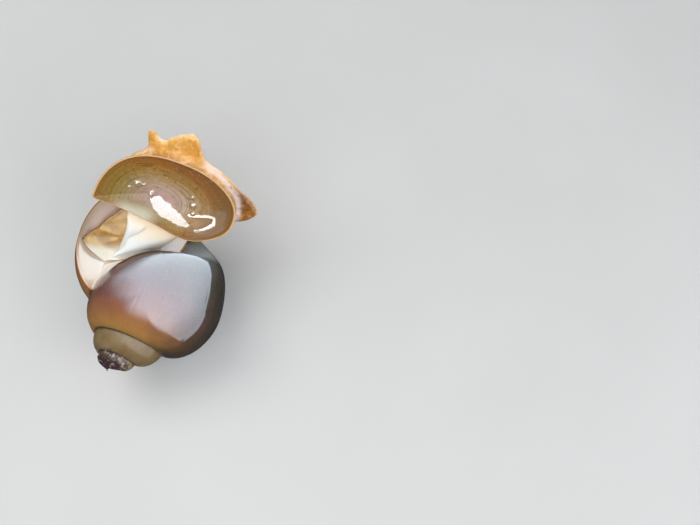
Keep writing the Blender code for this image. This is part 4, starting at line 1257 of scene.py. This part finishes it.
# ------------------------------------------------------------------ room
def room(wet):
    sc = bpy.context.scene
    sc.view_settings.view_transform = "Standard"
    sc.view_settings.look = "None"
    sc.view_settings.exposure = 0.0
    # floor
    me = bpy.data.meshes.new("floor")
    n, size = 2, 3.0
    me.from_pydata([(-size, -size, 0), (size, -size, 0), (size, size, 0), (-size, size, 0)], [], [(0, 1, 2, 3)])
    floor = object_of("floor", me)
    p = Paint("floor_pale")
    tone = p.noise(9.0, 4, 0.5)
    p.set("Base Color", p.ramp(tone, ((0.3, (0.60, 0.60, 0.59)), (0.7, (0.65, 0.65, 0.64)))))
    p.set("Roughness", 0.9)
    p.set("Specular IOR Level", 0.05)
    me.materials.append(p.mat)
    floor.visible_glossy = False
    # camera at the photograph's place
    cam = bpy.data.cameras.new("camera")
    cam.sensor_width = 36.0
    cam.lens = 1110.0 / 700.0 * 36.0
    cam.clip_start = 0.01
    cam.clip_end = 20.0
    co = bpy.data.objects.new("camera", cam)
    sc.collection.objects.link(co)
    at = level(np.array([51.957, 4.580, 308.70])) * 0.001
    co.location = at.tolist()
    co.rotation_euler = (math.radians(90 - VIEW_ELEVATION), 0.0, 0.0)
    sc.camera = co
    # soft lamps
    target = Vector((0.0, 0.0, 0.02))

    def lamp(name, place, size, power, colour, diffuse=1.0, glossy=True):
        l = bpy.data.lights.new(name, "AREA")
        l.shape = "RECTANGLE"
        l.size, l.size_y = size
        l.energy = power
        l.color = colour
        o = bpy.data.objects.new(name, l)
        o.location = place
        o.rotation_euler = (target - Vector(place)).to_track_quat("-Z", "Y").to_euler()
        o.visible_glossy = glossy
        sc.collection.objects.link(o)
        return o
    lamp("key", (-0.35, 0.05, 0.75), (0.6, 0.6), 3.1, (1.0, 0.99, 0.98), glossy=False)
    lamp("front", (-0.12, -0.60, 0.62), (0.7, 0.6), 3.2, (0.95, 0.97, 1.0), glossy=False)
    lamp("side", (0.50, -0.48, 0.42), (0.5, 0.5), 2.6, (0.98, 0.98, 1.0), glossy=False)
    # small lamps that only the wet plate and flesh mirror
    def card(name, azimuth, elevation, size, roll, radiance, receivers, shape="RECTANGLE", away=0.8):
        l = bpy.data.lights.new(name, "AREA")
        l.shape = shape
        l.size, l.size_y = (2 * away * math.tan(math.radians(q / 2)) for q in size)
        l.energy = radiance * math.pi * l.size * l.size_y
        l.color = (0.92, 0.96, 1.0)
        o = bpy.data.objects.new(name, l)
        az, el = math.radians(azimuth), math.radians(elevation)
        d = Vector((math.sin(az) * math.cos(el), math.cos(az) * math.cos(el), math.sin(el)))
        o.location = Vector((0.0, 0.012, 0.04)) + d * away
        o.rotation_euler = (d.to_track_quat("Z", "Y").to_matrix().to_4x4() @ Matrix.Rotation(math.radians(roll), 4, "Z")).to_euler()
        o.visible_diffuse = False
        sc.collection.objects.link(o)
        got = bpy.data.collections.new(name + "_on")
        for r in receivers:
            got.objects.link(r)
        o.light_linking.receiver_collection = got
        return o
    card("plate_window", 183.5, 17.0, (22.0, 26.0), 0.0, 17.0, wet[:1])
    card("run_window", 198.0, 10.5, (13.0, 24.0), 0.0, 20.0, wet[:1])
    card("edge_window", -69.0, 50.0, (26.0, 18.0), 0.0, 9.0, wet)
    # world: even pale light, and for mirror directions a tall window on the right with a far wall's edge
    w = bpy.data.worlds.new("studio")
    sc.world = w
    w.use_nodes = True
    nt = w.node_tree
    for nd in list(nt.nodes):
        nt.nodes.remove(nd)
    out = nt.nodes.new("ShaderNodeOutputWorld")
    tc = nt.nodes.new("ShaderNodeTexCoord")
    sep = nt.nodes.new("ShaderNodeSeparateXYZ")
    nt.links.new(tc.outputs["Generated"], sep.inputs[0])
    X, Y, Z = sep.outputs

    def mth(op, a, b=None, c=None):
        nd = nt.nodes.new("ShaderNodeMath")
        nd.operation = op
        for s, v in zip(nd.inputs, (a, b, c)):
            if isinstance(v, bpy.types.NodeSocket):
                nt.links.new(v, s)
            elif v is not None:
                s.default_value = v
        return nd.outputs[0]

    def fit(v, a, b):
        nd = nt.nodes.new("ShaderNodeMapRange")
        nd.interpolation_type = "SMOOTHSTEP"
        nt.links.new(v, nd.inputs["Value"])
        nd.inputs["From Min"].default_value = a
        nd.inputs["From Max"].default_value = b
        return nd.outputs["Result"]
    az = mth("MULTIPLY_ADD", mth("ARCTAN2", X, Y), 1 / TAU, 0.5)      # 0.5 is +Y, 0.75 is +X
    def round_ramp(stops):
        ramp = nt.nodes.new("ShaderNodeValToRGB")
        while len(ramp.color_ramp.elements) < len(stops):
            ramp.color_ramp.elements.new(0.5)
        for el, (deg, z) in zip(ramp.color_ramp.elements, stops):
            el.position = deg / 360 + 0.5
            el.color = ((z + 1) / 2,) * 3 + (1,)
        nt.links.new(az, ramp.inputs[0])
        return mth("MULTIPLY_ADD", ramp.outputs[0], 2.0, -1.0)
    # lower edge of the opening, as the sine of its height, by compass direction
    thr = round_ramp(((-180, 0.64), (-157, 0.70), (-135, 0.74), (-119, 0.85), (-100, 0.75), (-85, 0.50), (-68, 0.30), (-55, 0.10), (-38, 0.12),
                      (-24, 0.18), (-12, -0.05), (-2, -0.45), (5, -0.55), (12, -0.44), (25, -0.42), (33, -0.40), (46, -0.36), (60, -0.31), (78, -0.26),
                      (92, -0.43), (108, -0.53), (134, -0.60), (146, -0.58), (158, -0.12), (168, 0.30), (175, 0.60), (180, 0.64)))
    # how sharp that edge is
    soft = round_ramp(((-180, 0.26), (-90, 0.32), (-55, 0.30), (-24, 0.40), (-10, 0.30), (0, 0.10), (10, 0.03), (20, 0.02), (140, 0.02), (150, 0.08), (162, 0.24),
                       (180, 0.26)))
    over = mth("DIVIDE", mth("SUBTRACT", Z, thr), soft)
    sky = fit(over, -1.0, 1.0)
    side = fit(X, -1.15, -0.05)
    low = fit(mth("MULTIPLY_ADD", X, 0.9, Z), -1.1, -0.5)
    high = mth("MULTIPLY_ADD", fit(Z, -0.45, 0.50), 0.55, 0.45)
    amount = mth("MULTIPLY", mth("MULTIPLY", mth("MULTIPLY", sky, side), low), high)
    b_diff = nt.nodes.new("ShaderNodeBackground")
    b_diff.inputs[0].default_value = (0.93, 0.96, 1.0, 1)
    b_diff.inputs[1].default_value = 0.36
    b_glos = nt.nodes.new("ShaderNodeBackground")
    b_glos.inputs[0].default_value = (0.74, 0.87, 1.0, 1)
    nt.links.new(mth("MULTIPLY_ADD", amount, 9.6, 0.06), b_glos.inputs[1])
    lp = nt.nodes.new("ShaderNodeLightPath")
    mx = nt.nodes.new("ShaderNodeMixShader")
    nt.links.new(lp.outputs["Is Glossy Ray"], mx.inputs[0])
    nt.links.new(b_diff.outputs[0], mx.inputs[1])
    nt.links.new(b_glos.outputs[0], mx.inputs[2])
    nt.links.new(mx.outputs[0], out.inputs[0])


def main():
    shell = shell_piece()
    shell.data.materials.append(shell_paint())
    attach(shell, "root")
    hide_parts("shell")
    oper = operculum_piece()
    oper.data.materials.append(operculum_paint())
    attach(oper, "root")
    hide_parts("operculum")
    fp = flesh_piece()
    flesh = flesh_finish(*fp)
    flesh.data.materials.clear()
    flesh.data.materials.append(flesh_paint())
    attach(flesh, "root")
    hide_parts("foot_rear", "foot_front", "neck", "head", "mantle_edge", "labial_palp_L", "labial_palp_R",
                "tentacle_L", "tentacle_R", "eye_stalk_L", "eye_stalk_R")
    ep = eye_paint()
    for side, stalk in (("L", EYE_STALK_L), ("R", EYE_STALK_R)):
        o = eye_piece("eyeball_" + side, stalk)
        o.data.materials.append(ep)
        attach(o, "root")
        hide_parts("eye_" + side)
    room([oper, flesh])
    oper.visible_glossy = flesh.visible_glossy = False


main()
